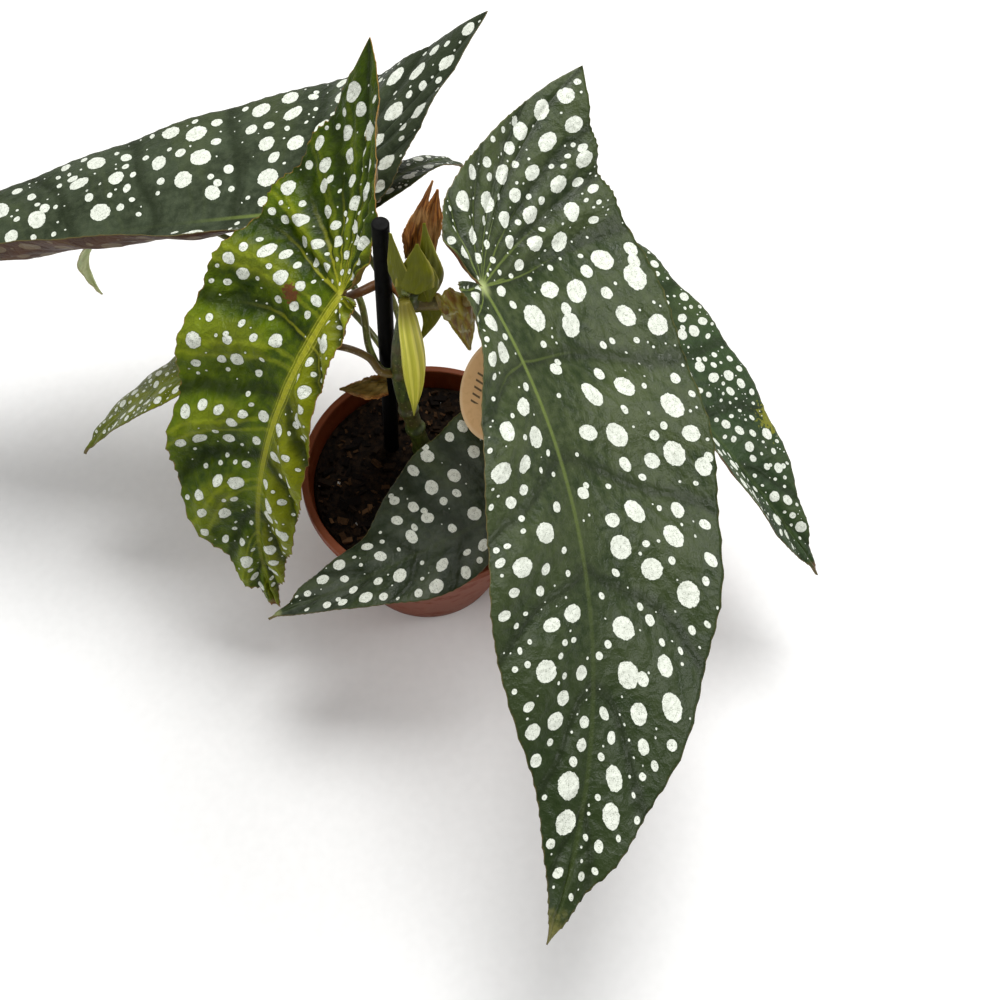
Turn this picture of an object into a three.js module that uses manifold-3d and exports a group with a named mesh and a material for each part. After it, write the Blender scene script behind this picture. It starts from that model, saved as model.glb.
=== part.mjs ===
// Potted polka dot begonia: a 9 cm nursery pot with soil, a support stake, a label and one cane
// with eight asymmetric wing-shaped blades. Millimetres, +Z up, origin under the middle of the pot.
import * as THREE from 'three';
import { mergeVertices } from 'three/addons/utils/BufferGeometryUtils.js';
import Module from 'manifold-3d';

const wasm = await Module();
wasm.setup();

// Clearance kept between two pieces that touch.
const gap = 0.3;

// Pot: thin-walled, straight taper, a short rolled lip, drainage holes round a plain middle.
const potHeight = 65;
const rimRadius = 45;
const lipHeight = 4.5;
const lipDepth = 1.4;
const baseRadius = 29;
const wall = 1.2;
const floorThickness = 1.6;
const potSides = 48;
const drainHoles = 5;
const drainRadius = 3;
const drainCircle = 20;

// Soil: filled to just below the rim, with a lumpy top.
const soilTop = 57.5;
const soilLump = 1.3;

// Stake: a round plastic stick with a blunt top.
const stakeRadius = 2.65;
const stakeX = -13.5;
const stakeY = 14;
const stakeTop = 180;
const stakeFoot = 8;

// Label: an oval card head on a narrow stem that stands in the soil.
const labelThickness = 0.9;
const labelStem = { x: 22, y: 24.5, width: 5, foot: 42 };
const labelHead = { x: 24.5, y: 13, z: 98.5, width: 27, length: 37, slope: 24, turn: -14 };

// Cane: from its foot in the soil up to the top node, with its radius at each point.
const caneFoot = 22;
const canePoints = [
  [-0.5, 10.5, caneFoot], [-1.2, 10, 57], [-4.2, 10, 75], [-7.6, 10, 94], [-9.2, 9, 111],
  [-9, 8.2, 126], [-7, 8.8, 142], [-4.5, 9, 156],
];
const caneRadii = [3, 3, 3.1, 2.9, 2.8, 2.6, 2.5, 2.4];
const nodeHalf = 2.4;
const nodes = [
  { at: [-1.9, 10, 63], radius: 3.9 },
  { at: [-4.6, 10, 77], radius: 3.7 },
  { at: [-6.7, 10, 89], radius: 3.7 },
  { at: [-9.2, 9, 113], radius: 3.3 },
  { at: [-5.3, 8.9, 151], radius: 3.5 },
];

// Blades. Lengths in mm, angles in degrees. The joint is where the petiole meets the blade and the
// midrib runs from it to the tip. wide and narrow are the half widths at 0, 20, 40, 60 and 80 % of
// the midrib, lobe is how far the back lobe's tip lies behind the joint and to the wide side.
// side is 1 where the wide half lies on the left, seen from above along the midrib.
const bladeThickness = 0.8;
const petioleSeat = 1.5;
const blades = {
  blade_a: {
    side: 1, joint: [16.2, 7.3, 160.4], heading: -52, pitch: 27.5, roll: -33, length: 196,
    droop: 24, sickle: -53, lobeDroop: -117, lobeSwing: 2, twist: 27,
    wideFold: -6, wideCurl: 38, narrowFold: 9, narrowCurl: -15,
    lobe: [59, 70.5], shoulder: 66, wide: [66.5, 61, 53, 39, 20], narrow: [16.5, 29, 36.5, 34.5, 15.5],
    puff: 1.6, wave: 1.2, scallop: 1.2, rows: 4,
  },
  blade_b: {
    side: -1, joint: [-26.2, 10.5, 150.3], heading: -141, pitch: 42.5, roll: 25.5, length: 140,
    droop: 52, sickle: 6, lobeDroop: -137, lobeSwing: -47, twist: 68,
    wideFold: 6, wideCurl: 38, narrowFold: -8, narrowCurl: 5,
    lobe: [53.5, 49.5], shoulder: 49, wide: [44.5, 43, 35.5, 29.5, 12], narrow: [14, 12.5, 17, 16, 9],
    puff: 3.4, wave: 1.2, scallop: 2.4, rows: 4,
  },
  blade_c: {
    side: -1, joint: [-42, 52, 140], heading: 174.5, pitch: 15, roll: -12.5, length: 186.5,
    droop: 4, sickle: -5, lobeDroop: -100, lobeSwing: 10, twist: 0,
    wideFold: -8.5, wideCurl: -16.5, narrowFold: 22, narrowCurl: 135,
    lobe: [63.5, 59.5], shoulder: 57, wide: [64.5, 56.5, 46, 34, 16], narrow: [16, 26, 31, 28, 14],
    puff: 1.4, wave: 1, scallop: 1, rows: 4,
  },
  blade_d: {
    side: 1, joint: [46.5, 41.5, 119.5], heading: -36, pitch: 20.5, roll: -22.5, length: 138.5,
    droop: 20.5, sickle: 6.5, lobeDroop: 10, lobeSwing: 0, twist: 29,
    wideFold: 4, wideCurl: -5.5, narrowFold: 31.5, narrowCurl: 15.5,
    lobe: [45.5, 40.5], shoulder: 40.5,
    wide: [45.5, 39, 34, 24.5, 11], narrow: [10.5, 17.5, 20.5, 17.5, 10.5],
    puff: 1.3, wave: 1, scallop: 1, rows: 3,
  },
  blade_e: {
    side: -1, joint: [37.5, -17, 80.5], heading: 210.5, pitch: 8, roll: -9.5, length: 100.5,
    droop: 9, sickle: 11, lobeDroop: 10, lobeSwing: 0, twist: -38,
    wideFold: 6, wideCurl: 3.5, narrowFold: -1, narrowCurl: -20,
    lobe: [33, 32.5], shoulder: 32, wide: [37, 34.5, 29, 15.5, 9.5], narrow: [7.5, 12, 17.5, 13.5, 6.5],
    puff: 1, wave: 0.8, scallop: 0.7, rows: 3,
  },
  blade_f: {
    side: -1, joint: [-66, 23.5, 97.5], heading: 189, pitch: 14, roll: 14, length: 73.5,
    droop: 38, sickle: -4, lobeDroop: 10, lobeSwing: 0, twist: 2,
    wideFold: -2.5, wideCurl: -16, narrowFold: 5, narrowCurl: -7,
    lobe: [24, 18.5], shoulder: 18.5, wide: [19.5, 19, 14.5, 11, 5], narrow: [5, 8, 10, 9, 4.5],
    puff: 0.9, wave: 0.6, scallop: 0.6, rows: 2,
  },
  blade_g: {
    side: 1, joint: [-28.5, 62, 123], heading: 46.5, pitch: -31.5, roll: -7, length: 58.5,
    droop: 82.5, sickle: 4.5, lobeDroop: 10, lobeSwing: 0, twist: 3.5,
    wideFold: -4.5, wideCurl: -26, narrowFold: 13.5, narrowCurl: -9,
    lobe: [19.5, 13], shoulder: 13, wide: [14, 13.5, 9.5, 7.5, 4], narrow: [3.5, 5.5, 7.5, 6, 3.5],
    puff: 0.6, wave: 0.5, scallop: 0.5, rows: 2,
  },
  blade_h: {
    side: -1, joint: [-89, 75, 112], heading: 174, pitch: 4, roll: -4, length: 84,
    droop: 100, sickle: 0, lobeDroop: 10, lobeSwing: 0, twist: 0,
    wideFold: 8, wideCurl: -8, narrowFold: 16, narrowCurl: -5,
    lobe: [22, 16], shoulder: 16, wide: [17, 16, 13, 9.5, 4.5], narrow: [4, 7, 9, 7.5, 3.5],
    puff: 0.7, wave: 0.5, scallop: 0.5, rows: 2,
  },
};

// Petioles: radius, and the points from the cane to just short of the joint under each blade.
const petioles = [
  {
    blade: 'blade_a', radius: 2.1,
    points: [[-5, 9, 150], [3, 9.6, 149.5], [10.5, 9.4, 151]],
  },
  {
    blade: 'blade_b', radius: 1.6,
    points: [[-6, 9, 149], [-9, 15.5, 147], [-14, 19.3, 146], [-21, 16, 145.5]],
  },
  {
    blade: 'blade_c', radius: 1.2,
    points: [[-9, 9, 113], [-14.6, 8, 114.5], [-19, 13.5, 119], [-22, 24, 130], [-33, 42, 135]],
  },
  {
    blade: 'blade_d', radius: 1.5,
    points: [[-1.4, 10, 61.8], [8, 9, 61.6], [22, 12, 65], [38, 22, 79], [45, 34, 104]],
  },
  {
    blade: 'blade_e', radius: 1.4,
    points: [[-1.4, 10, 61.8], [6, 1, 62.5], [20, -9, 66.5], [32, -14, 73]],
  },
  {
    blade: 'blade_f', radius: 1.2,
    points: [
      [-9, 9, 112], [-15, 7, 115.5], [-19, 9, 120.5], [-28, 10.5, 124], [-46, 14, 116], [-60, 19, 98],
    ],
  },
  {
    blade: 'blade_g', radius: 1.1,
    points: [[-6, 10, 89], [-7, 24, 95], [-13, 43, 106], [-22, 56, 115]],
  },
  {
    blade: 'blade_h', radius: 1.1,
    points: [[-7, 10, 90], [-14, 26, 96], [-36, 50, 102], [-76, 70, 107]],
  },
];

// Green sheaths round the top node and dry stipules at the nodes: middle line, half widths along it,
// the way the hollow side faces, and how deep it is hollowed.
const sheaths = [
  {
    points: [[-7.6, 5.6, 157], [-9, 4.6, 169], [-10.2, 6, 185]],
    widths: [2.4, 4, 2.6, 0.5], facing: [0.7, 1, 0], hollow: 0.35,
  },
  {
    points: [[-3, 8.4, 146], [0.4, 8, 162], [-0.8, 8.2, 187]],
    widths: [3, 5.4, 2.6, 0.4], facing: [-0.3, 1, 0], hollow: 0.35,
  },
  {
    points: [[-3.6, 2.4, 163.2], [-3, 3.6, 171], [-2.7, 5.8, 181]],
    widths: [5.8, 5.2, 2.8, 0.4], facing: [0, 1, 0.3], hollow: 0.35,
  },
  {
    points: [[0.7, 6.4, 154], [1.4, 5.6, 163], [0, 5.8, 174]],
    widths: [0.7, 2.4, 1.8, 0.4], facing: [-0.3, 1, 0], hollow: 0.3,
  },
  {
    points: [[1.6, 8.6, 150.4], [1, 8.8, 141], [-2.4, 8.6, 131]],
    widths: [4.8, 3.2, 1.6, 0.4], facing: [0.1, -1, 0], hollow: -0.2,
  },
  {
    points: [[4.6, 7.6, 157], [9.4, 6.4, 148], [13.4, 5.6, 131]],
    widths: [3.4, 5, 3.4, 0.6], facing: [-0.2, 1, 0.3], hollow: 0.3,
  },
];
const stipules = [
  {
    points: [[-4.6, 9.8, 171], [-3.2, 10.9, 184], [1.4, 12, 200]],
    widths: [2.2, 3.6, 1.7, 0.3], facing: [0.2, -1, 0], hollow: 0.4,
  },
  {
    points: [[2.6, 12.8, 153.5], [1.2, 16, 164], [0.8, 18.8, 176], [2.6, 19.8, 188]],
    widths: [0.8, 1.2, 3.4, 0.4], facing: [0, -1, 0], hollow: 0.3,
  },
  {
    points: [[-13.2, 5, 111.6], [-20, 4.4, 110.2], [-29, 5.2, 107.5]],
    widths: [3.4, 4.4, 2.4, 0.4], facing: [0, -0.3, 1], hollow: -0.3,
  },
];
const sheetThickness = 0.7;

// Spear: the newest blade, still rolled up, hanging from a short neck at the top of the cane.
const neckPoints = [[-4.5, 9, 156], [-5.2, 5.6, 162.5], [-6.2, 2.6, 162]];
const neckRadius = 1.3;
const spearPoints = [[-6.5, 1.6, 160.6], [-5.4, 0.2, 151], [-4.2, 0, 136], [-4, 1, 118], [-4.4, 2.2, 97]];
const spearRadii = [1.6, 3.5, 3.9, 2.6, 0.3];

const rad = THREE.MathUtils.degToRad;
const vec = (xyz) => new THREE.Vector3(...xyz);
const plant = new THREE.Group();

function addPiece(name, geometry, colour, roughness) {
  const material = new THREE.MeshStandardMaterial({ color: colour, roughness, metalness: 0 });
  const mesh = new THREE.Mesh(geometry, material);
  mesh.name = name;
  plant.add(mesh);
}

// Solids for joining and cutting.
function toSolid(geometry) {
  const bare = geometry.clone();
  bare.deleteAttribute('normal');
  bare.deleteAttribute('uv');
  const merged = mergeVertices(bare, 1e-4);
  const vertProperties = new Float32Array(merged.attributes.position.array);
  const triVerts = new Uint32Array(merged.index.array);
  return new wasm.Manifold(new wasm.Mesh({ numProp: 3, vertProperties, triVerts }));
}

function fromSolid(solid) {
  const { vertProperties, triVerts } = solid.getMesh();
  const geometry = new THREE.BufferGeometry();
  geometry.setAttribute('position', new THREE.BufferAttribute(new Float32Array(vertProperties), 3));
  geometry.setIndex(new THREE.BufferAttribute(new Uint32Array(triVerts), 1));
  return geometry;
}

function joined(geometries) {
  return fromSolid(geometries.map(toSolid).reduce((whole, part) => whole.add(part)));
}

function turned(profile, sides) {
  const lathe = new THREE.LatheGeometry(profile.map(([r, z]) => new THREE.Vector2(r, z)), sides);
  return lathe.rotateX(Math.PI / 2);
}

function indexed(vertices, triangles) {
  const geometry = new THREE.BufferGeometry();
  const flat = vertices.flatMap((v) => [v.x, v.y, v.z]);
  geometry.setAttribute('position', new THREE.Float32BufferAttribute(flat, 3));
  geometry.setIndex(triangles.flat());
  return geometry;
}

function between(list, t) {
  const place = Math.min(t, 1) * (list.length - 1);
  const low = Math.min(Math.floor(place), list.length - 2);
  return THREE.MathUtils.lerp(list[low], list[low + 1], place - low);
}

// A round stem along a smooth curve, its radius changing from point to point.
function stem(points, radii, sides, steps) {
  const curve = new THREE.CatmullRomCurve3(points.map(vec));
  const frames = curve.computeFrenetFrames(steps, false);
  const vertices = [];
  const triangles = [];
  for (let i = 0; i <= steps; i += 1) {
    const centre = curve.getPointAt(i / steps);
    const radius = between(radii, i / steps);
    for (let k = 0; k < sides; k += 1) {
      const angle = (k / sides) * 2 * Math.PI;
      const point = centre.clone()
        .addScaledVector(frames.normals[i], Math.cos(angle) * radius)
        .addScaledVector(frames.binormals[i], Math.sin(angle) * radius);
      vertices.push(point);
    }
  }
  for (let i = 0; i < steps; i += 1) {
    for (let k = 0; k < sides; k += 1) {
      const a = i * sides + k;
      const b = i * sides + ((k + 1) % sides);
      triangles.push([a, b, b + sides], [a, b + sides, a + sides]);
    }
  }
  const last = steps * sides;
  for (let k = 1; k < sides - 1; k += 1) {
    triangles.push([0, k + 1, k], [last, last + k, last + k + 1]);
  }
  return indexed(vertices, triangles);
}

// A thin closed body from a middle surface: both faces are split into the same triangles.
function thickened(middle, triangles, thickness) {
  const normals = middle.map(() => new THREE.Vector3());
  for (const [a, b, c] of triangles) {
    const one = middle[b].clone().sub(middle[a]);
    const face = one.cross(middle[c].clone().sub(middle[a]));
    for (const corner of [a, b, c]) {
      normals[corner].add(face);
    }
  }
  normals.forEach((normal) => normal.normalize());
  const upper = middle.map((point, i) => point.clone().addScaledVector(normals[i], thickness / 2));
  const lower = middle.map((point, i) => point.clone().addScaledVector(normals[i], -thickness / 2));
  const count = middle.length;
  const directed = new Set();
  for (const [a, b, c] of triangles) {
    directed.add(`${a},${b}`).add(`${b},${c}`).add(`${c},${a}`);
  }
  const faces = [];
  for (const [a, b, c] of triangles) {
    faces.push([a, b, c], [count + a, count + c, count + b]);
    for (const [p, q] of [[a, b], [b, c], [c, a]]) {
      if (!directed.has(`${q},${p}`)) {
        faces.push([q, p, count + p], [q, count + p, count + q]);
      }
    }
  }
  return indexed([...upper, ...lower], faces);
}

// A narrow hollowed sheet along a short curve.
function sheet({ points, widths, facing, hollow }) {
  const rows = 6;
  const columns = 4;
  const curve = new THREE.CatmullRomCurve3(points.map(vec));
  const face = vec(facing).normalize();
  const middle = [];
  const triangles = [];
  for (let i = 0; i <= rows; i += 1) {
    const t = i / rows;
    const half = between(widths, t);
    const across = face.clone().cross(curve.getTangentAt(t)).normalize();
    for (let k = 0; k <= columns; k += 1) {
      const x = (k / columns) * 2 - 1;
      const point = curve.getPointAt(t).addScaledVector(across, x * half);
      middle.push(point.addScaledVector(face, hollow * half * x * x));
    }
  }
  for (let i = 0; i < rows; i += 1) {
    for (let k = 0; k < columns; k += 1) {
      const a = i * (columns + 1) + k;
      const b = a + columns + 1;
      triangles.push([a, a + 1, b + 1], [a, b + 1, b]);
    }
  }
  return thickened(middle, triangles, sheetThickness);
}

// The surface that a blade lies in. The midrib bends down and sideways at a steady rate from the
// joint to the tip, and both halves fold up from it and curl.
function bladeSurface(blade) {
  const [heading, pitch, roll] = [blade.heading, blade.pitch, blade.roll].map(rad);
  const level = vec([Math.cos(heading), Math.sin(heading), 0]);
  const along = level.multiplyScalar(Math.cos(pitch)).add(vec([0, 0, -Math.sin(pitch)]));
  const left = vec([-Math.sin(heading), Math.cos(heading), 0]);
  const up = along.clone().cross(left);
  const across = left.multiplyScalar(Math.cos(roll)).addScaledVector(up, Math.sin(roll));
  const normal = along.clone().cross(across);
  across.multiplyScalar(blade.side);

  function frame(u) {
    const share = u / blade.length;
    const bend = rad(u >= 0 ? blade.droop : blade.lobeDroop) * share;
    const swing = rad(u >= 0 ? blade.sickle : blade.lobeSwing) * share;
    const twist = rad(blade.twist) * share;
    const tangent = along.clone().multiplyScalar(Math.cos(bend) * Math.cos(swing))
      .addScaledVector(across, Math.cos(bend) * Math.sin(swing))
      .addScaledVector(normal, -Math.sin(bend));
    const flat = along.clone().multiplyScalar(-Math.sin(swing)).addScaledVector(across, Math.cos(swing));
    const over = tangent.clone().cross(flat).multiplyScalar(blade.side);
    const out = flat.clone().multiplyScalar(Math.cos(twist)).addScaledVector(over, Math.sin(twist));
    const top = over.multiplyScalar(Math.cos(twist)).addScaledVector(flat, -Math.sin(twist));
    return { tangent, out, top };
  }

  // Midrib points at even steps, the joint in the middle of the list.
  const steps = 100;
  const step = blade.length / steps;
  const ahead = [vec(blade.joint)];
  const behind = [vec(blade.joint)];
  for (let i = 1; i <= steps; i += 1) {
    ahead.push(ahead[i - 1].clone().addScaledVector(frame((i - 0.5) * step).tangent, step));
    behind.push(behind[i - 1].clone().addScaledVector(frame((0.5 - i) * step).tangent, -step));
  }
  function midrib(u) {
    const list = u >= 0 ? ahead : behind;
    const place = Math.min(Math.abs(u) / step, steps - 1e-6);
    const low = Math.floor(place);
    return list[low].clone().lerp(list[low + 1], place - low);
  }

  return function place(u, v, lift) {
    const { out, top } = frame(u);
    const fade = THREE.MathUtils.smoothstep(u / blade.length, -0.18, 0.12);
    const fold = rad(v >= 0 ? blade.wideFold : blade.narrowFold) * fade;
    const curl = rad(v >= 0 ? blade.wideCurl : blade.narrowCurl) / (0.3 * blade.length);
    const reach = Math.abs(v);
    const angle = fold + curl * reach;
    const outward = (Math.sin(angle) - Math.sin(fold)) / curl;
    const upward = (Math.cos(fold) - Math.cos(angle)) / curl;
    const sign = v >= 0 ? 1 : -1;
    return midrib(u)
      .addScaledVector(out, sign * (outward - lift * Math.sin(angle)))
      .addScaledVector(top, upward + lift * Math.cos(angle));
  };
}

// Outline of the flat blade in midrib coordinates, one smooth line for the back lobe's inner edge,
// one for the wide side from the lobe's tip to the main tip, one for the narrow side.
function bladeOutline(blade) {
  const { length, shoulder, wide, narrow } = blade;
  const [back, out] = blade.lobe;
  const line = (points) => new THREE.SplineCurve(points.map(([u, v]) => new THREE.Vector2(u, v)));
  return {
    inner: line([
      [0, 0], [-0.14 * back, -0.07 * out], [-0.3 * back, -0.09 * out], [-0.5 * back, 0.06 * out],
      [-0.68 * back, 0.35 * out], [-0.84 * back, 0.68 * out], [-back, out],
    ]),
    wide: line([
      [-back, out], [-0.62 * back, (shoulder + out) / 2], [-0.3 * back, shoulder],
      [0.02 * length, wide[0]], [0.2 * length, wide[1]], [0.4 * length, wide[2]],
      [0.6 * length, wide[3]], [0.8 * length, wide[4]], [0.92 * length, wide[4] * 0.33], [length, 0],
    ]),
    narrow: line([
      [0, 0], [-0.02 * length, -0.035 * length], [-0.01 * length, -0.75 * narrow[0]],
      [0.06 * length, -narrow[0]], [0.2 * length, -narrow[1]], [0.4 * length, -narrow[2]],
      [0.6 * length, -narrow[3]], [0.8 * length, -narrow[4]], [0.92 * length, -narrow[4] * 0.36],
      [length, 0],
    ]),
  };
}

// Veins fan out from the joint to the first margin points and leave the midrib further on.
const veinCount = 9;
const innerVeins = 6;
const fanVeins = 3;
const veinArch = 0.04;

function veinFoot(vein) {
  return Math.max(0, (vein - fanVeins) / (veinCount - fanVeins)) ** 1.15;
}

function bladeGeometry(blade) {
  const place = bladeSurface(blade);
  const outline = bladeOutline(blade);
  const middle = [];
  const found = new Map();
  const triangles = [];

  function vertex(edge, vein, t) {
    const last = edge === 'inner' ? innerVeins : veinCount;
    const foot = edge === 'inner' ? 0 : veinFoot(vein) * blade.length;
    const start = new THREE.Vector2(foot, 0);
    const end = outline[edge].getPoint(vein / last);
    const bulge = 0.5 - 0.5 * Math.cos(2 * Math.PI * vein);
    if (vein > 0.5 && vein < last - 0.4) {
      end.addScaledVector(end.clone().sub(start).normalize(), blade.scallop * bulge);
    }
    const flat = start.clone().lerp(end, t);
    flat.x -= veinArch * foot * 4 * t * (1 - t) * (vein < last ? 1 : 0);
    const puff = blade.puff * bulge * t * (2 - t) * (1 - 0.35 * t);
    const wave = blade.wave * Math.sin(Math.PI * (vein * 0.62 + (edge === 'narrow' ? 0.8 : 0))) * t ** 3;
    const tip = vein >= last ? 0 : 1;
    const point = place(flat.x, flat.y, (puff + wave) * tip);
    const key = [point.x, point.y, point.z].map((n) => Math.round(n * 500)).join();
    if (!found.has(key)) {
      found.set(key, middle.length);
      middle.push(point);
    }
    return found.get(key);
  }

  function strip(edge, veins, turn) {
    for (let i = 0; i < veins.length - 1; i += 1) {
      for (let j = 0; j < blade.rows; j += 1) {
        const [t0, t1] = [j / blade.rows, (j + 1) / blade.rows];
        const [a, b] = [vertex(edge, veins[i], t0), vertex(edge, veins[i], t1)];
        const [c, d] = [vertex(edge, veins[i + 1], t1), vertex(edge, veins[i + 1], t0)];
        for (const corners of [[a, b, c], [a, c, d]]) {
          if (new Set(corners).size === 3) {
            triangles.push(turn > 0 ? corners : corners.reverse());
          }
        }
      }
    }
  }

  const halves = (from, to) => Array.from({ length: 2 * (to - from) + 1 }, (_, i) => from + i / 2);
  strip('inner', halves(1, innerVeins), -blade.side);
  strip('wide', halves(0, veinCount), -blade.side);
  strip('narrow', halves(1, veinCount), blade.side);
  return thickened(middle, triangles, bladeThickness);
}

// Where a petiole ends: just under its blade's joint, its cut end clear of the blade at any slant.
function petioleEnd(blade, from, radius) {
  const place = bladeSurface(blade);
  const clear = bladeThickness / 2 + 1.6 * gap;
  const under = place(petioleSeat, 0, -clear);
  const normal = place(petioleSeat, 0, 0).sub(under).normalize();
  const slant = under.clone().sub(vec(from)).normalize().dot(normal);
  return place(petioleSeat, 0, -clear - radius * Math.sqrt(1 - slant ** 2)).toArray();
}

// Pot.
const lipRounding = 0.6;
const lipFoot = potHeight - lipHeight;
const wallTop = rimRadius - lipDepth;
const potProfile = [
  [0, 0], [baseRadius, 0], [wallTop, lipFoot], [rimRadius, lipFoot],
  [rimRadius, potHeight - lipRounding], [rimRadius - lipRounding, potHeight], [wallTop - wall, potHeight],
  [wallTop - wall, lipFoot], [baseRadius - wall, floorThickness], [0, floorThickness],
];
let pot = toSolid(turned(potProfile, potSides));
for (let i = 0; i < drainHoles; i += 1) {
  const hole = turned([[0, -1], [drainRadius, -1], [drainRadius, 4], [0, 4]], 12);
  const angle = (i / drainHoles) * 2 * Math.PI;
  hole.translate(drainCircle * Math.cos(angle), drainCircle * Math.sin(angle), 0);
  pot = pot.subtract(toSolid(hole));
}
addPiece('pot', fromSolid(pot), 0x9a5446, 0.5);

// Soil. Its side follows the inside of the pot, and its top is raised by a formula.
function soilRelief(x, y) {
  const drift = 1.7 * Math.sin(0.22 * y);
  const coarse = Math.sin(0.31 * x + drift) * Math.cos(0.36 * y + 1.3 * Math.sin(0.27 * x));
  const fine = Math.sin(0.93 * x + 2.1) * Math.sin(1.07 * y + 0.4);
  return soilLump * (0.65 * coarse + 0.35 * fine);
}
function insideRadius(z) {
  const share = (z - floorThickness) / (lipFoot - floorThickness);
  return baseRadius - wall + share * (wallTop - baseRadius);
}
const soilBottom = floorThickness + gap;
const soilEdge = soilTop - soilLump;
const soilInset = 0.4;
const soilRings = 9;
const soilSides = 40;
const soilProfile = [
  [0, soilBottom], [insideRadius(soilBottom) - soilInset, soilBottom],
  [insideRadius(soilEdge) - soilInset, soilEdge],
];
for (let i = soilRings - 1; i >= 0; i -= 1) {
  soilProfile.push([(i / soilRings) * insideRadius(soilEdge), soilTop]);
}
const soilForm = turned(soilProfile, soilSides);
const soilPoints = soilForm.attributes.position;
for (let i = 0; i < soilPoints.count; i += 1) {
  if (soilPoints.getZ(i) > soilTop - 0.01) {
    const [x, y] = [soilPoints.getX(i), soilPoints.getY(i)];
    soilPoints.setZ(i, soilTop + soilRelief(x, y));
  }
}

// Plain holes in the soil for what stands in it.
function soilHole(x, y, radius, foot) {
  const hole = turned([[0, foot], [radius, foot], [radius, potHeight], [0, potHeight]], 12);
  return toSolid(hole.translate(x, y, 0));
}
const labelSlot = new THREE.BoxGeometry(labelStem.width + 2 * gap, labelThickness + 2 * gap, potHeight);
labelSlot.translate(labelStem.x, labelStem.y, labelStem.foot - gap + potHeight / 2);
const caneHole = stem([[-0.5, 10.5, caneFoot - 1], ...canePoints.slice(1, 3)], [3.5, 3.5, 3.6], 12, 6);
const soil = toSolid(soilForm)
  .subtract(soilHole(stakeX, stakeY, stakeRadius + gap, stakeFoot - gap))
  .subtract(toSolid(caneHole))
  .subtract(toSolid(labelSlot));
addPiece('soil', fromSolid(soil), 0x2a1d16, 0.95);

// Stake.
const stake = turned([
  [0, stakeFoot], [0.8, stakeFoot], [stakeRadius, stakeFoot + 8], [stakeRadius, stakeTop - 0.5],
  [stakeRadius - 0.5, stakeTop], [0, stakeTop],
], 16);
addPiece('stake', stake.translate(stakeX, stakeY, 0), 0x141416, 0.55);

// Label. The head leans back on the stem, and both are one card.
function labelGeometry() {
  const outline = new THREE.Shape();
  outline.absellipse(0, 0, labelHead.width / 2, labelHead.length / 2, 0, 2 * Math.PI);
  const card = { depth: labelThickness, bevelEnabled: false, curveSegments: 14 };
  const head = new THREE.ExtrudeGeometry(outline, card);
  head.translate(0, 0, -labelThickness / 2);
  head.rotateX(rad(labelHead.slope));
  head.rotateZ(rad(labelHead.turn));
  head.translate(labelHead.x, labelHead.y, labelHead.z);
  const stemTop = labelHead.z + (labelStem.y - labelHead.y) * Math.tan(rad(labelHead.slope));
  const stemHeight = stemTop - labelStem.foot;
  const leg = new THREE.BoxGeometry(labelStem.width, labelThickness, stemHeight);
  leg.translate(labelStem.x, labelStem.y, labelStem.foot + stemHeight / 2);
  return joined([head, leg]);
}
addPiece('label', labelGeometry(), 0xbd9670, 0.7);

// Cane with its nodes, petioles and green sheaths, all one growth.
const growth = [stem(canePoints, caneRadii, 10, 18)];
for (const { at, radius } of nodes) {
  const shoulder = radius * 0.72;
  const ring = turned([
    [0, -nodeHalf], [shoulder, -nodeHalf * 0.8], [radius, 0], [shoulder, nodeHalf * 0.8], [0, nodeHalf],
  ], 10);
  growth.push(ring.translate(...at));
}
for (const { blade, points, radius } of petioles) {
  const tip = radius * 0.8;
  const path = [...points, petioleEnd(blades[blade], points[points.length - 1], tip)];
  growth.push(stem(path, [radius * 1.25, radius, radius, tip], 6, 3 * path.length - 4));
}
growth.push(stem(neckPoints, [neckRadius, neckRadius], 6, 4));
for (const form of sheaths) {
  growth.push(sheet(form));
}
addPiece('cane', joined(growth), 0x6c8a3a, 0.55);

// Spear and dry stipules.
addPiece('spear', stem(spearPoints, spearRadii, 10, 12), 0xc3cb62, 0.5);
stipules.forEach((form, i) => addPiece(`stipule_${i + 1}`, sheet(form), 0x9a6326, 0.8));

// Blades.
const bladeColours = {
  blade_a: 0x3f5233, blade_b: 0x6f8a18, blade_c: 0x3d5040, blade_d: 0x2f5530,
  blade_e: 0x34493a, blade_f: 0x66803a, blade_g: 0x36493a, blade_h: 0x9cb27a,
};
for (const [name, blade] of Object.entries(blades)) {
  addPiece(name, bladeGeometry(blade), bladeColours[name], 0.4);
}

export default plant;
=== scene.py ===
import math
import bpy
import numpy as np
from mathutils import Matrix, Vector


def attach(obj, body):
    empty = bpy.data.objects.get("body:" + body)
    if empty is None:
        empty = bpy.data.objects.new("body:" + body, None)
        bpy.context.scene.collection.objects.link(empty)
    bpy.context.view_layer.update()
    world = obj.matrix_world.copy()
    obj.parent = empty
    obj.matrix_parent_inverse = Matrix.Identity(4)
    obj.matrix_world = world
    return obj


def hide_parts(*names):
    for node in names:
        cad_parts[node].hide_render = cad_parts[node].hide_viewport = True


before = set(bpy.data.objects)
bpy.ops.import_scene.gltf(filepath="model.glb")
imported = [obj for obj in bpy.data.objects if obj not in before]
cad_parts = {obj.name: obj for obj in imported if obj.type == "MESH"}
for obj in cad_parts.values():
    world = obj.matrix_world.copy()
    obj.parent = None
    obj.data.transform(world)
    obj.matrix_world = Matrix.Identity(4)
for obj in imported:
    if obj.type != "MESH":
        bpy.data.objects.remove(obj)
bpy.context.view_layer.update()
scene = bpy.context.scene
mm = 0.001
fullTurn = 2 * math.pi
print("stage: frame loaded")


# curves, round bodies and pieces

def smoothStep(x, low, high):
    t = np.clip((x - low) / (high - low), 0, 1)
    return t * t * (3 - 2 * t)


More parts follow.
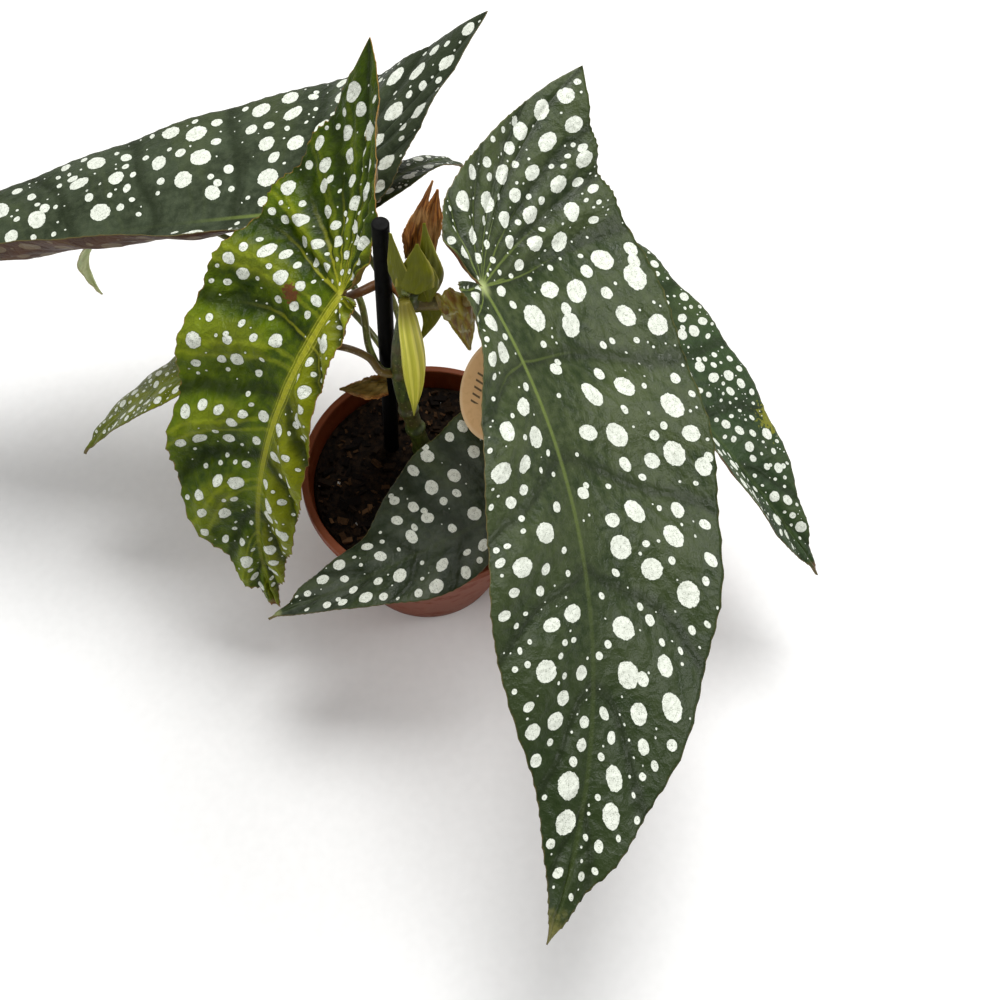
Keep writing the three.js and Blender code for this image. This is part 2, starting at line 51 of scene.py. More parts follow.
def unit(v):
    return v / np.maximum(np.linalg.norm(v, axis=-1, keepdims=True), 1e-12)


def splineAt(points, share):
    # smooth curve through flat points, evenly stepped, share from 0 to 1
    p = np.asarray(points, float)
    place = (len(p) - 1) * np.asarray(share, float)
    i = np.clip(np.floor(place).astype(int), 0, len(p) - 2)
    w = (place - i)[..., None]
    p0, p1, p2, p3 = p[np.maximum(i - 1, 0)], p[i], p[i + 1], p[np.minimum(i + 2, len(p) - 1)]
    a, b = (p2 - p0) / 2, (p3 - p1) / 2
    return (2 * p1 - 2 * p2 + a + b) * w ** 3 + (3 * p2 - 3 * p1 - 2 * a - b) * w ** 2 + a * w + p1


def smoothPath(points, count):
    # smooth curve through the points that doesn't loop at sharp turns, cut into even lengths
    p = np.asarray(points, float)
    p = np.vstack([2 * p[0] - p[1], p, 2 * p[-1] - p[-2]])
    w = np.linspace(0, 1, 40, endpoint=False)[:, None]
    dense = []
    for k in range(1, len(p) - 2):
        x0, x1, x2, x3 = p[k - 1], p[k], p[k + 1], p[k + 2]
        d0, d1, d2 = [max(np.sum((b - a) ** 2) ** 0.25, 1e-4) for a, b in ((x0, x1), (x1, x2), (x2, x3))]
        t1 = ((x1 - x0) / d0 - (x2 - x0) / (d0 + d1) + (x2 - x1) / d1) * d1
        t2 = ((x2 - x1) / d1 - (x3 - x1) / (d1 + d2) + (x3 - x2) / d2) * d1
        bend = (3 * (x2 - x1) - 2 * t1 - t2) * w ** 2 + (2 * (x1 - x2) + t1 + t2) * w ** 3
        dense.append(x1 + t1 * w + bend)
    dense = np.vstack(dense + [p[-2][None]])
    run = np.concatenate([[0], np.cumsum(np.linalg.norm(np.diff(dense, axis=0), axis=1))])
    even = np.linspace(0, run[-1], count)
    return np.stack([np.interp(even, run, dense[:, k]) for k in range(3)], 1)


def steadyFrames(line):
    # two crosswise directions carried along a line without twisting
    ahead = unit(np.gradient(line, axis=0))
    side = np.cross(ahead[0], [0, 0, 1.0])
    side = unit(side if np.linalg.norm(side) > 0.05 else np.cross(ahead[0], [0, 1.0, 0]))
    sides = []
    for t in ahead:
        side = unit(side - t * np.dot(side, t))
        sides.append(side)
    sides = np.array(sides)
    return sides, np.cross(ahead, sides)


def ringFaces(rings, sides):
    # quads between closed rings of points that follow one another
    faces = []
    for i in range(rings - 1):
        for k in range(sides):
            a, b = i * sides + k, i * sides + (k + 1) % sides
            faces.append((a, b, b + sides, a + sides))
    return faces


def closingFaces(rings, sides):
    # triangles from the first and the last ring to the two middle points stored after the rings
    foot, last = rings * sides, (rings - 1) * sides
    faces = []
    for k in range(sides):
        faces.append((foot, (k + 1) % sides, k))
        faces.append((foot + 1, last + k, last + (k + 1) % sides))
    return faces


def tube(line, radii, sides, relief=None):
    # closed round body along a line, with flat ends; relief(angle, share) scales the radius
    line = np.asarray(line, float)
    count = len(line)
    share = np.linspace(0, 1, count)
    radius = np.interp(share, np.linspace(0, 1, len(radii)), radii)
    one, two = steadyFrames(line)
    angle = np.arange(sides) / sides * fullTurn
    scale = np.ones((count, sides)) if relief is None else relief(angle[None, :], share[:, None])
    spokes = np.cos(angle)[None, :, None] * one[:, None] + np.sin(angle)[None, :, None] * two[:, None]
    points = line[:, None] + (radius[:, None] * scale)[..., None] * spokes
    points = np.vstack([points.reshape(-1, 3), line[:1], line[-1:]])
    around = np.concatenate([np.tile(angle, count), [0, 0]])
    along = np.concatenate([np.repeat(share, sides), [0, 1]])
    return points, ringFaces(count, sides) + closingFaces(count, sides), along, around


def turnedBody(profile, sides):
    # closed body turned about Z from (radius, height) points, first and last on the axis
    rings = np.array(profile[1:-1], float)
    angle = np.arange(sides) / sides * fullTurn
    ring = np.stack([np.cos(angle), np.sin(angle)], 1)
    heights = np.broadcast_to(rings[:, 1:, None], (len(rings), sides, 1))
    points = np.concatenate([rings[:, :1, None] * ring[None], heights], 2)
    points = np.vstack([points.reshape(-1, 3), [[0, 0, profile[0][1]], [0, 0, profile[-1][1]]]])
    return points, ringFaces(len(rings), sides) + closingFaces(len(rings), sides)


def gather(strands):
    # joins several (points, faces, along, around) bodies; owner tells them apart
    points, faces, along, around, owner, start = [], [], [], [], [], 0
    for k, (p, f, s, a) in enumerate(strands):
        points.append(p)
        faces += [tuple(int(i) + start for i in face) for face in f]
        along.append(s)
        around.append(a)
        owner.append(np.full(len(p), k, float))
        start += len(p)
    return np.vstack(points), faces, np.concatenate(along), np.concatenate(around), np.concatenate(owner)


def linkedObject(name, data):
    made = bpy.data.objects.new(name, data)
    scene.collection.objects.link(made)
    return made


def makePiece(name, points, faces, materials, slotName, nodes, faceMaterial=None, smooth=True):
    # points in millimetres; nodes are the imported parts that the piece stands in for
    mesh = bpy.data.meshes.new(name)
    mesh.from_pydata([tuple(p) for p in np.asarray(points) * mm], [], [tuple(map(int, f)) for f in faces])
    for material in materials:
        mesh.materials.append(material)
    if faceMaterial is not None:
        mesh.polygons.foreach_set("material_index", np.asarray(faceMaterial, np.int32))
    mesh.polygons.foreach_set("use_smooth", np.full(len(mesh.polygons), smooth))
    mesh.validate()
    mesh.update()
    piece = linkedObject(name, mesh)
    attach(piece, "root")
    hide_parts(*nodes)
    return piece


def paintPoints(piece, name, values, domain="POINT"):
    # stores a number or a vector on every point or face corner of a piece
    values = np.asarray(values, np.float32)
    kind, field = ("FLOAT", "value") if values.ndim == 1 else ("FLOAT_VECTOR", "vector")
    piece.data.attributes.new(name, kind, domain).data.foreach_set(field, values.ravel())


def strandPiece(name, strands, material, slotName, nodes):
    # a piece of one or more strands, which keeps each point's place on its strand
    points, faces, along, around, owner = gather(strands)
    piece = makePiece(name, points, faces, [material], slotName, nodes)
    paintPoints(piece, "along", along)
    paintPoints(piece, "around", around)
    paintPoints(piece, "owner", owner)
    return piece, owner.astype(int)


# shader helpers and shared effects

class Wiring:
    # short hand for adding and linking nodes in a material or a group
    def __init__(self, tree):
        self.tree = tree

    def add(self, kind, settings=None, **inputs):
        node = self.tree.nodes.new(kind)
        for key, value in (settings or {}).items():
            setattr(node, key, value)
        for key, value in inputs.items():
            self.feed(node, key, value)
        return node

    def feed(self, node, key, value):
        # in0, in1 and so on name a socket by its number
        numbered = key.startswith("in") and key[2:].isdigit()
        socket = node.inputs[int(key[2:]) if numbered else key.replace("_", " ")]
        if isinstance(value, bpy.types.NodeSocket):
            self.link(value, socket)
        else:
            socket.default_value = value

    def link(self, output, socket):
        self.tree.links.new(output, socket)

    def math(self, operation, a, b=0.0):
        return self.add("ShaderNodeMath", {"operation": operation}, in0=a, in1=b).outputs[0]

    def times(self, value, *others):
        for other in others:
            value = self.math("MULTIPLY", value, other)
        return value

    def plus(self, value, *others):
        for other in others:
            value = self.math("ADD", value, other)
        return value

    def minus(self, a, b):
        return self.math("SUBTRACT", a, b)

    def step(self, value, low, high):
        # 0 up to low, 1 from high on, smooth between them
        settings = {"interpolation_type": "SMOOTHSTEP"}
        return self.add("ShaderNodeMapRange", settings, in0=value, in1=low, in2=high).outputs[0]

    def fade(self, value, low, high):
        # 1 up to low, 0 from high on
        return self.minus(1.0, self.step(value, low, high))

    def mix(self, share, a, b):
        return self.add("ShaderNodeMix", {"data_type": "RGBA"}, in0=share, in6=a, in7=b).outputs[2]

    def tint(self, colour, newColour, *shares):
        # lays a new colour over the colour so far, by the product of the shares
        return self.mix(self.times(*shares), colour, newColour)

    def noise(self, vector, scale, detail=3.0, roughness=0.5, dimensions="3D"):
        settings = {"noise_dimensions": dimensions}
        inputs = {"Vector": vector, "Scale": scale, "Detail": detail, "Roughness": roughness}
        return self.add("ShaderNodeTexNoise", settings, **inputs).outputs[0]

    def flatNoise(self, vector, scale, detail=3.0, roughness=0.5):
        return self.noise(vector, scale, detail, roughness, "2D")

    def cells(self, vector, scale):
        # distance to the border of a flat net of cells
        settings = {"feature": "DISTANCE_TO_EDGE", "voronoi_dimensions": "2D"}
        return self.add("ShaderNodeTexVoronoi", settings, Vector=vector, Scale=scale).outputs["Distance"]

    def number(self, name):
        return self.add("ShaderNodeAttribute", {"attribute_name": name}).outputs["Fac"]

    def vector(self, name):
        return self.add("ShaderNodeAttribute", {"attribute_name": name}).outputs["Vector"]

    def split(self, vector):
        return self.add("ShaderNodeSeparateXYZ", None, Vector=vector).outputs

    def objectPlace(self):
        return self.add("ShaderNodeTexCoord").outputs["Object"]


def rgba(r, g, b):
    return (r, g, b, 1.0)


def newGroup(name, inputs, outputs):
    # shader group with number sockets, its wiring, and its sockets as seen from inside
    group = bpy.data.node_groups.new(name, "ShaderNodeTree")
    for label, value in inputs.items():
        socket = group.interface.new_socket(label, in_out="INPUT", socket_type="NodeSocketFloat")
        socket.default_value = value
    for label in outputs:
        group.interface.new_socket(label, in_out="OUTPUT", socket_type="NodeSocketFloat")
    given = group.nodes.new("NodeGroupInput").outputs
    result = group.nodes.new("NodeGroupOutput").inputs
    return group, Wiring(group), given, result


def newMaterial(name, **constants):
    material = bpy.data.materials.new(name)
    material.use_nodes = True
    shader = material.node_tree.nodes["Principled BSDF"]
    for key, value in constants.items():
        shader.inputs[key.replace("_", " ")].default_value = value
    return material, Wiring(material.node_tree), shader


def useGroup(w, group, **inputs):
    return w.add("ShaderNodeGroup", {"node_tree": group}, **inputs).outputs


def finishSurface(w, shader, colour, roughness, height, strength=0.4, distance=0.0004):
    bump = w.add("ShaderNodeBump", None, Strength=strength, Distance=distance, Height=height)
    w.link(bump.outputs[0], shader.inputs["Normal"])
    w.link(colour, shader.inputs["Base Color"])
    w.link(roughness, shader.inputs["Roughness"])


# pale spots: mask, dark centre, cracks and dark halo, from what is stored on the blade's face corners
spotEffect = {
    "outlineScale": 0.75, "softness": 0.09, "pit": (0.1, 0.26), "pitFromSize": (0.5, 0.9), "haloReach": 0.55,
    "crackScale": 1.7, "crackWidth": (0.02, 0.13), "patchScale": 0.9, "patches": (0.42, 0.62),
}
spotGroup, w, given, result = newGroup(
    "pale spots", {"Cracks": 0.5, "Ragged": 0.1}, ("Mask", "Centre", "Crackle", "Edge"))
flat = w.vector("flat")
uneven = w.flatNoise(flat, spotEffect["outlineScale"], 4.0, 0.6)
ragged = w.times(w.minus(uneven, 0.5), given["Ragged"])


def oneSpot(attributeName):
    # mask, pit and halo of one of the two nearest spots
    across, down, size = w.split(w.vector(attributeName))
    reach = w.math("SQRT", w.plus(w.times(across, across), w.times(down, down)))
    softness = w.math("DIVIDE", spotEffect["softness"], w.math("MAXIMUM", size, 0.1))
    edge = w.plus(reach, ragged)
    inside = w.fade(edge, w.minus(1.0, softness), w.plus(1.0, softness))
    pit = w.fade(w.times(reach, size), *spotEffect["pit"])
    pit = w.times(pit, inside, w.step(size, *spotEffect["pitFromSize"]))
    halo = w.fade(w.times(w.minus(edge, 1.0), size), 0.0, spotEffect["haloReach"])
    return inside, pit, halo


first, second = oneSpot("spotOne"), oneSpot("spotTwo")
mask, pit, halo = [w.math("MAXIMUM", one, two) for one, two in zip(first, second)]
w.link(mask, result["Mask"])
w.link(pit, result["Centre"])
w.link(halo, result["Edge"])
crack = w.fade(w.cells(flat, spotEffect["crackScale"]), *spotEffect["crackWidth"])
patchy = w.step(w.flatNoise(flat, spotEffect["patchScale"], 2.0), *spotEffect["patches"])
w.link(w.times(crack, patchy, mask, given["Cracks"]), result["Crackle"])

# veins: masks of the veins and the ground between them, masks for the painted highlight along the crests and
# the painted shade in the valleys, and the height of the blistered surface
veinEffect = {
    "wobbleScale": 0.35, "wobble": 0.5, "looser": 3.0, "veinCore": 0.12, "midrib": (0.35, 1.25),
    "crestPlace": 0.42, "crest": (0.15, 1.3), "valleyShadeReach": (0.4, 4.2), "netScale": 0.26, "fineScale": 0.8,
    "netLine": 0.09, "blister": 0.32, "fineBlister": 0.3, "fineShare": 0.35, "grainScale": 3.2, "grain": 0.25,
    "grooveReach": 1.6, "groove": 0.8,
}
veinGroup, w, given, result = newGroup(
    "leaf veins", {"Width": 0.5, "Net": 0.5}, ("Vein", "Midrib", "Net", "CrestHighlight", "ValleyShade", "Height"))
e = veinEffect
flat = w.vector("flat")
veinGap = w.number("veinGap")
away = w.math("ABSOLUTE", w.minus(w.math("FRACT", w.plus(w.number("vein"), 0.5)), 0.5))
veinReach = w.times(away, veinGap)
wobble = w.times(w.minus(w.flatNoise(flat, e["wobbleScale"], 2.0), 0.5), e["wobble"])
looseWobble = w.times(wobble, e["looser"])
w.link(w.fade(w.plus(veinReach, wobble), e["veinCore"], given["Width"]), result["Vein"])
w.link(w.fade(w.number("midrib"), *e["midrib"]), result["Midrib"])
# mask for a painted highlight along the crest midway between two veins
crestReach = w.math("ABSOLUTE", w.plus(w.times(w.minus(e["crestPlace"], away), veinGap), looseWobble))
w.link(w.fade(crestReach, *e["crest"]), result["CrestHighlight"])
# mask for a painted shade in the valleys along the veins
w.link(w.fade(w.plus(veinReach, looseWobble), *e["valleyShadeReach"]), result["ValleyShade"])
wideNet, fineNet = w.cells(flat, e["netScale"]), w.cells(flat, e["fineScale"])
w.link(w.times(w.fade(wideNet, 0.0, e["netLine"]), given["Net"]), result["Net"])
fineBlister = w.times(w.step(fineNet, 0.0, e["fineBlister"]), e["fineShare"])
blister = w.times(w.plus(w.step(wideNet, 0.0, e["blister"]), fineBlister), given["Net"])
grain = w.times(w.flatNoise(flat, e["grainScale"], 2.0), e["grain"])
groove = w.times(w.fade(veinReach, 0.0, e["grooveReach"]), e["groove"])
w.link(w.minus(w.plus(blister, grain), groove), result["Height"])

# streaks: fine lines that run along a stem, a sheath or a dry stipule
streakEffect = {
    "streak": (0.4, 0.62), "blotchScale": 190.0, "blotch": (0.42, 0.64), "grainScale": 1500.0, "grain": 0.3,
}
streakGroup, w, given, result = newGroup(
    "long streaks", {"Lines": 8.0, "Length": 3.0}, ("Streak", "Blotch", "Height"))
e = streakEffect
around = w.times(w.number("around"), given["Lines"])
along = w.times(w.number("along"), given["Length"])
stretched = w.add("ShaderNodeCombineXYZ", None, in0=around, in1=along, in2=w.number("owner")).outputs[0]
streak = w.noise(stretched, 1.0, 4.0, 0.6)
place = w.objectPlace()
w.link(w.step(streak, *e["streak"]), result["Streak"])
w.link(w.step(w.noise(place, e["blotchScale"], 3.0), *e["blotch"]), result["Blotch"])
w.link(w.plus(streak, w.times(w.noise(place, e["grainScale"], 2.0), e["grain"])), result["Height"])

# wear: dust, fine scuffs and grain of moulded plastic and card
wearEffect = {
    "dust": (0.48, 0.72), "scuffScale": 4.0, "scuff": (0.5, 0.75), "upright": 0.08, "grainScale": 9.0,
}
wearGroup, w, given, result = newGroup("dust and grain", {"Scale": 300.0}, ("Dust", "Scuff", "Height"))
e = wearEffect
place = w.objectPlace()
w.link(w.step(w.noise(place, given["Scale"], 5.0, 0.65), *e["dust"]), result["Dust"])
tall = w.add("ShaderNodeMapping", None, Vector=place, Scale=(1.0, 1.0, e["upright"])).outputs[0]
scuff = w.noise(tall, w.times(given["Scale"], e["scuffScale"]), 3.0)
w.link(w.step(scuff, *e["scuff"]), result["Scuff"])
w.link(w.noise(place, w.times(given["Scale"], e["grainScale"]), 2.0), result["Height"])
print("stage: shared effects")


# camera, floor and light

view = {"x": 8.4, "y": -232.8, "z": 466.4, "tiltDown": 61.2, "roll": 1.5, "lens": 46.8, "shift": 0.05}
tilt, roll = math.radians(view["tiltDown"]), math.radians(view["roll"])
ahead = Vector((0, math.cos(tilt), -math.sin(tilt)))
level = Vector((1, 0, 0))
rise = level.cross(ahead)
across = level * math.cos(roll) + rise * math.sin(roll)
upward = rise * math.cos(roll) - level * math.sin(roll)
cameraData = bpy.data.cameras.new("camera")
cameraData.lens = view["lens"]
cameraData.sensor_width = 36
cameraData.shift_x = view["shift"]
cameraData.clip_start = 0.01
camera = linkedObject("camera", cameraData)
turned = Matrix((across, upward, -ahead)).transposed().to_4x4()
camera.matrix_world = Matrix.Translation(Vector((view["x"], view["y"], view["z"])) * mm) @ turned
scene.camera = camera
scene.view_settings.view_transform = "Standard"

studio = {
    "floorColour": rgba(0.86, 0.86, 0.85), "floorGrain": rgba(0.9, 0.9, 0.89), "floorReach": 4,
    "worldColour": rgba(1.0, 1.0, 1.0), "worldStrength": 0.34, "aim": (0, 0, 0.12),
    "lamps": {
        "key": {"at": (0.08, 0.42, 1.2), "size": 0.55, "power": 13.0},
        "fill": {"at": (0.95, 0.1, 1.0), "size": 0.5, "power": 6.0},
        "back": {"at": (-0.75, -0.45, 0.95), "size": 0.9, "power": 4.0}},
}
floorMaterial, w, shader = newMaterial("floorPaper", Specular_IOR_Level=0.15)
paper = w.flatNoise(w.objectPlace(), 260.0, 1.0)
w.link(w.mix(paper, studio["floorColour"], studio["floorGrain"]), shader.inputs["Base Color"])
w.link(w.plus(w.times(paper, 0.1), 0.8), shader.inputs["Roughness"])
floorMesh = bpy.data.meshes.new("floor")
reach = studio["floorReach"]
floorCorners = [(-reach, -reach, 0), (reach, -reach, 0), (reach, reach, 0), (-reach, reach, 0)]
floorMesh.from_pydata(floorCorners, [], [(0, 1, 2, 3)])
floorMesh.materials.append(floorMaterial)
floor = linkedObject("floor", floorMesh)

world = bpy.data.worlds.new("studio")
world.use_nodes = True
background = world.node_tree.nodes["Background"].inputs
background["Color"].default_value = studio["worldColour"]
background["Strength"].default_value = studio["worldStrength"]
scene.world = world
for lampName, values in studio["lamps"].items():
    lampData = bpy.data.lights.new(lampName, "AREA")
    lampData.size = values["size"]
    lampData.energy = values["power"]
    lamp = linkedObject(lampName, lampData)
    lamp.location = values["at"]
    lamp.rotation_euler = (Vector(studio["aim"]) - lamp.location).to_track_quat("-Z", "Y").to_euler()
print("stage: camera and light")


# blades

# shapes in millimetres and degrees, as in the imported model
bladeShapes = {
    "blade_a": {
        "side": 1, "joint": (16.2, 7.3, 160.4), "heading": -52, "pitch": 27.5, "roll": -33, "length": 196,
        "droop": 24, "sickle": -53, "lobeDroop": -117, "lobeSwing": 2, "twist": 27, "wideFold": -6,
        "wideCurl": 38, "narrowFold": 9, "narrowCurl": -15, "lobe": (59, 70.5), "shoulder": 66,
        "wide": (66.5, 61, 53, 39, 20), "narrow": (16.5, 29, 36.5, 34.5, 15.5), "puff": 1.6, "wave": 1.2,
        "scallop": 1.2, "quilt": 0.85, "dimple": 0.2, "steps": 22, "rows": 44,
    },
    "blade_b": {
        "side": -1, "joint": (-26.2, 10.5, 150.3), "heading": -141, "pitch": 42.5, "roll": 25.5,
        "length": 140, "droop": 52, "sickle": 6, "lobeDroop": -137, "lobeSwing": -47, "twist": 68,
        "wideFold": 6, "wideCurl": 38, "narrowFold": -8, "narrowCurl": 5, "lobe": (53.5, 49.5),
        "shoulder": 49, "wide": (44.5, 43, 35.5, 29.5, 12), "narrow": (14, 12.5, 17, 16, 9), "puff": 3.4,
        "wave": 1.2, "scallop": 2.4, "quilt": 1.2, "dimple": 0.2, "tooth": 2.4, "calm": 0.55, "steps": 20,
        "rows": 40,
    },
    "blade_c": {
        "side": -1, "joint": (-42, 52, 140), "heading": 174.5, "pitch": 15, "roll": -12.5,
        "length": 186.5, "droop": 4, "sickle": -5, "lobeDroop": -100, "lobeSwing": 10, "twist": 0,
        "wideFold": -8.5, "wideCurl": -16.5, "narrowFold": 22, "narrowCurl": 135, "lobe": (63.5, 59.5),
        "shoulder": 57, "wide": (64.5, 56.5, 46, 34, 16), "narrow": (16, 26, 31, 28, 14), "puff": 1.4,
        "wave": 1, "scallop": 0.08, "quilt": 0.3, "steps": 22, "rows": 42,
    },
    "blade_d": {
        "side": 1, "joint": (46.5, 41.5, 119.5), "heading": -36, "pitch": 20.5, "roll": -22.5,
        "length": 138.5, "droop": 20.5, "sickle": 6.5, "lobeDroop": 10, "lobeSwing": 0, "twist": 29,
        "wideFold": 4, "wideCurl": -5.5, "narrowFold": 31.5, "narrowCurl": 15.5, "lobe": (45.5, 40.5),
        "shoulder": 40.5, "wide": (45.5, 39, 34, 24.5, 11), "narrow": (10.5, 17.5, 20.5, 17.5, 10.5),
        "puff": 1.3, "wave": 1, "scallop": 1, "steps": 18, "rows": 32,
    },
    "blade_e": {
        "side": -1, "joint": (37.5, -17, 80.5), "heading": 210.5, "pitch": 8, "roll": -9.5,
        "length": 100.5, "droop": 9, "sickle": 11, "lobeDroop": 10, "lobeSwing": 0, "twist": -38,
        "wideFold": 6, "wideCurl": 3.5, "narrowFold": -1, "narrowCurl": -20, "lobe": (33, 32.5),
        "shoulder": 32, "wide": (37, 34.5, 29, 15.5, 9.5), "narrow": (7.5, 12, 17.5, 13.5, 6.5),
        "puff": 1, "wave": 0.8, "scallop": 0.7, "steps": 16, "rows": 30,
    },
    "blade_f": {
        "side": -1, "joint": (-66, 23.5, 97.5), "heading": 189, "pitch": 14, "roll": 14, "length": 73.5,
        "droop": 38, "sickle": -4, "lobeDroop": 10, "lobeSwing": 0, "twist": 2, "wideFold": -2.5,
        "wideCurl": -16, "narrowFold": 5, "narrowCurl": -7, "lobe": (24, 18.5), "shoulder": 18.5,
        "wide": (19.5, 19, 14.5, 11, 5), "narrow": (5, 8, 10, 9, 4.5), "puff": 0.9, "wave": 0.6,
        "scallop": 0.6, "steps": 12, "rows": 20,
    },
    "blade_g": {
        "side": 1, "joint": (-28.5, 62, 123), "heading": 46.5, "pitch": -31.5, "roll": -7, "length": 58.5,
        "droop": 82.5, "sickle": 4.5, "lobeDroop": 10, "lobeSwing": 0, "twist": 3.5, "wideFold": -4.5,
        "wideCurl": -26, "narrowFold": 13.5, "narrowCurl": -9, "lobe": (19.5, 13), "shoulder": 13,
        "wide": (14, 13.5, 9.5, 7.5, 4), "narrow": (3.5, 5.5, 7.5, 6, 3.5), "puff": 0.6, "wave": 0.5,
        "scallop": 0.5, "steps": 10, "rows": 16,
    },
    "blade_h": {
        "side": -1, "joint": (-89, 75, 112), "heading": 174, "pitch": 4, "roll": -4, "length": 84,
        "droop": 100, "sickle": 0, "lobeDroop": 10, "lobeSwing": 0, "twist": 0, "wideFold": 8,
        "wideCurl": -8, "narrowFold": 16, "narrowCurl": -5, "lobe": (22, 16), "shoulder": 16,
        "wide": (17, 16, 13, 9.5, 4.5), "narrow": (4, 7, 9, 7.5, 3.5), "puff": 0.7, "wave": 0.5,
        "scallop": 0.5, "steps": 10, "rows": 18,
    },
}


def window(x, low, full, leave, gone):
    # rises between low and full, falls between leave and gone
    return smoothStep(x, low, full) * (1 - smoothStep(x, leave, gone))


def bladeSurface(shape):
    # place(u, v, lift) puts flat blade coordinates on the bent, twisted and folded surface
    heading, pitch, rollAngle = [math.radians(shape[k]) for k in ("heading", "pitch", "roll")]
    flatAhead = np.array([math.cos(heading) * math.cos(pitch), math.sin(heading) * math.cos(pitch)])
    along = np.append(flatAhead, -math.sin(pitch))
    left = np.array([-math.sin(heading), math.cos(heading), 0])
    up = np.cross(along, left)
    across = left * math.cos(rollAngle) + up * math.sin(rollAngle)
    normal = np.cross(along, across)
    across = across * shape["side"]
    length = shape["length"]

    def frameAt(u):
        share = u / length
        ahead = u >= 0
        bend = (np.radians(np.where(ahead, shape["droop"], shape["lobeDroop"])) * share)[..., None]
        swing = (np.radians(np.where(ahead, shape["sickle"], shape["lobeSwing"])) * share)[..., None]
        twist = (math.radians(shape["twist"]) * share)[..., None]
        swung = along * np.cos(bend) * np.cos(swing) + across * np.cos(bend) * np.sin(swing)
        tangent = swung - normal * np.sin(bend)
        flat = across * np.cos(swing) - along * np.sin(swing)
        over = np.cross(tangent, flat) * shape["side"]
        turned = flat * np.cos(twist) + over * np.sin(twist)
        return tangent, turned, over * np.cos(twist) - flat * np.sin(twist)

    steps = 100
    step = length / steps
    middles = (np.arange(steps) + 0.5) * step
    start = np.array(shape["joint"], float)
    ahead = np.vstack([start, start + np.cumsum(frameAt(middles)[0] * step, 0)])
    behind = np.vstack([start, start - np.cumsum(frameAt(-middles)[0] * step, 0)])

    def place(u, v, lift):
        u, v, lift = [np.asarray(a, float) for a in np.broadcast_arrays(u, v, lift)]
        at = np.minimum(np.abs(u) / step, steps - 1e-6)
        low = np.floor(at).astype(int)
        w = (at - low)[..., None]
        ribAhead = ahead[low] * (1 - w) + ahead[low + 1] * w
        ribBehind = behind[low] * (1 - w) + behind[low + 1] * w
        rib = np.where((u >= 0)[..., None], ribAhead, ribBehind)
        _, out, top = frameAt(u)
        fade = smoothStep(u / length, *bladeBuild["foldFrom"])
        fold = np.radians(np.where(v >= 0, shape["wideFold"], shape["narrowFold"])) * fade
        curl = np.radians(np.where(v >= 0, shape["wideCurl"], shape["narrowCurl"]))
        curl = curl / (bladeBuild["curlWidth"] * length)
        angle = fold + curl * np.abs(v)
        outward = (np.sin(angle) - np.sin(fold)) / curl - lift * np.sin(angle)
        rise = (np.cos(fold) - np.cos(angle)) / curl + lift * np.cos(angle)
        return rib + out * (np.where(v >= 0, 1, -1) * outward)[..., None] + top * rise[..., None]

    return place


def bladeOutline(shape):
    # each edge from the joint or the lobe's end to the tip, as flat points
    length, shoulder = shape["length"], shape["shoulder"]
    back, out = shape["lobe"]
    wide, narrow = shape["wide"], shape["narrow"]
    stations = (0.2, 0.4, 0.6, 0.8)
    inner = [(0, 0), (-0.14, -0.07), (-0.3, -0.09), (-0.5, 0.06), (-0.68, 0.35), (-0.84, 0.68), (-1, 1)]
    wideEdge = [(-back, out), (-0.62 * back, (shoulder + out) / 2), (-0.3 * back, shoulder),
                (0.02 * length, wide[0])]
    narrowEdge = [(0, 0), (-0.02 * length, -0.035 * length), (-0.01 * length, -0.75 * narrow[0]),
                  (0.06 * length, -narrow[0])]
    return {
        "inner": [(x * back, y * out) for x, y in inner],
        "wide": wideEdge + [(at * length, width) for at, width in zip(stations, wide[1:])]
        + [(0.92 * length, wide[4] * 0.33), (length, 0)],
        "narrow": narrowEdge + [(at * length, -width) for at, width in zip(stations, narrow[1:])]
        + [(0.92 * length, -narrow[4] * 0.36), (length, 0)],
    }


bladeBuild = {
    "veins": {"inner": (1, 6), "wide": (0, 9), "narrow": (1, 9)}, "fanVeins": 3, "footSpread": 1.15,
    "arch": 0.04, "wander": 0.07, "halfThickness": 0.27, "foldFrom": (-0.18, 0.12), "curlWidth": 0.3,
    "toothHeight": 0.55, "toothLength": 190, "teethPerVein": 6.0, "plainDimple": 0.13,
    "rimThinning": 0.55, "ribWidth": 1.6, "ribTaper": 0.7, "ribRise": 0.12, "veinWidth": 0.7,
    "veinDepth": 0.28,
}


def bladeRelief(shape, edge, flat, vein, t, bulge):
    # height of the pillows between the veins, their dimples and the waves of the margin
    last = bladeBuild["veins"][edge][1]
    lean = bulge - 0.35 + 0.5 * np.sin(fullTurn * vein)
    quiltShow = window(vein, 0.5, 2.5, last - 3.0, last - 1.2) * smoothStep(t, 0.05, 0.35)
    quiltShow = quiltShow * (1 - 0.7 * smoothStep(t, 0.7, 1.0))
    pillow = 0.4 * bulge + 0.6 * np.abs(np.sin(np.pi * vein)) ** 0.8
    pillow = pillow + shape.get("quilt", 0.0) * lean * quiltShow
    calmer = 1.0 if edge == "inner" else 1 - smoothStep(vein, 1.5, 3.5)
    pillow = pillow * (1 - shape.get("calm", 0.0) * calmer)
    fanFade = 0.3 + 0.7 * smoothStep(t, 0.0, 0.45)
    puff = shape["puff"] * pillow * t * (2 - t) * (1 - 0.35 * t) * fanFade
    x, y = flat[..., 0], flat[..., 1]
    dimple = np.sin(0.5 * x + 1.7 * np.sin(0.31 * y)) * np.sin(0.62 * y + 1.3 * np.sin(0.37 * x))
    dimpleSize = shape.get("dimple", bladeBuild["plainDimple"]) * shape["puff"]
    puff = puff + dimpleSize * dimple * window(t, 0.05, 0.3, 0.9, 1.0)
    wave = shape["wave"] * np.sin(np.pi * (vein * 0.62 + (0.8 if edge == "narrow" else 0))) * t ** 3
    return puff + wave


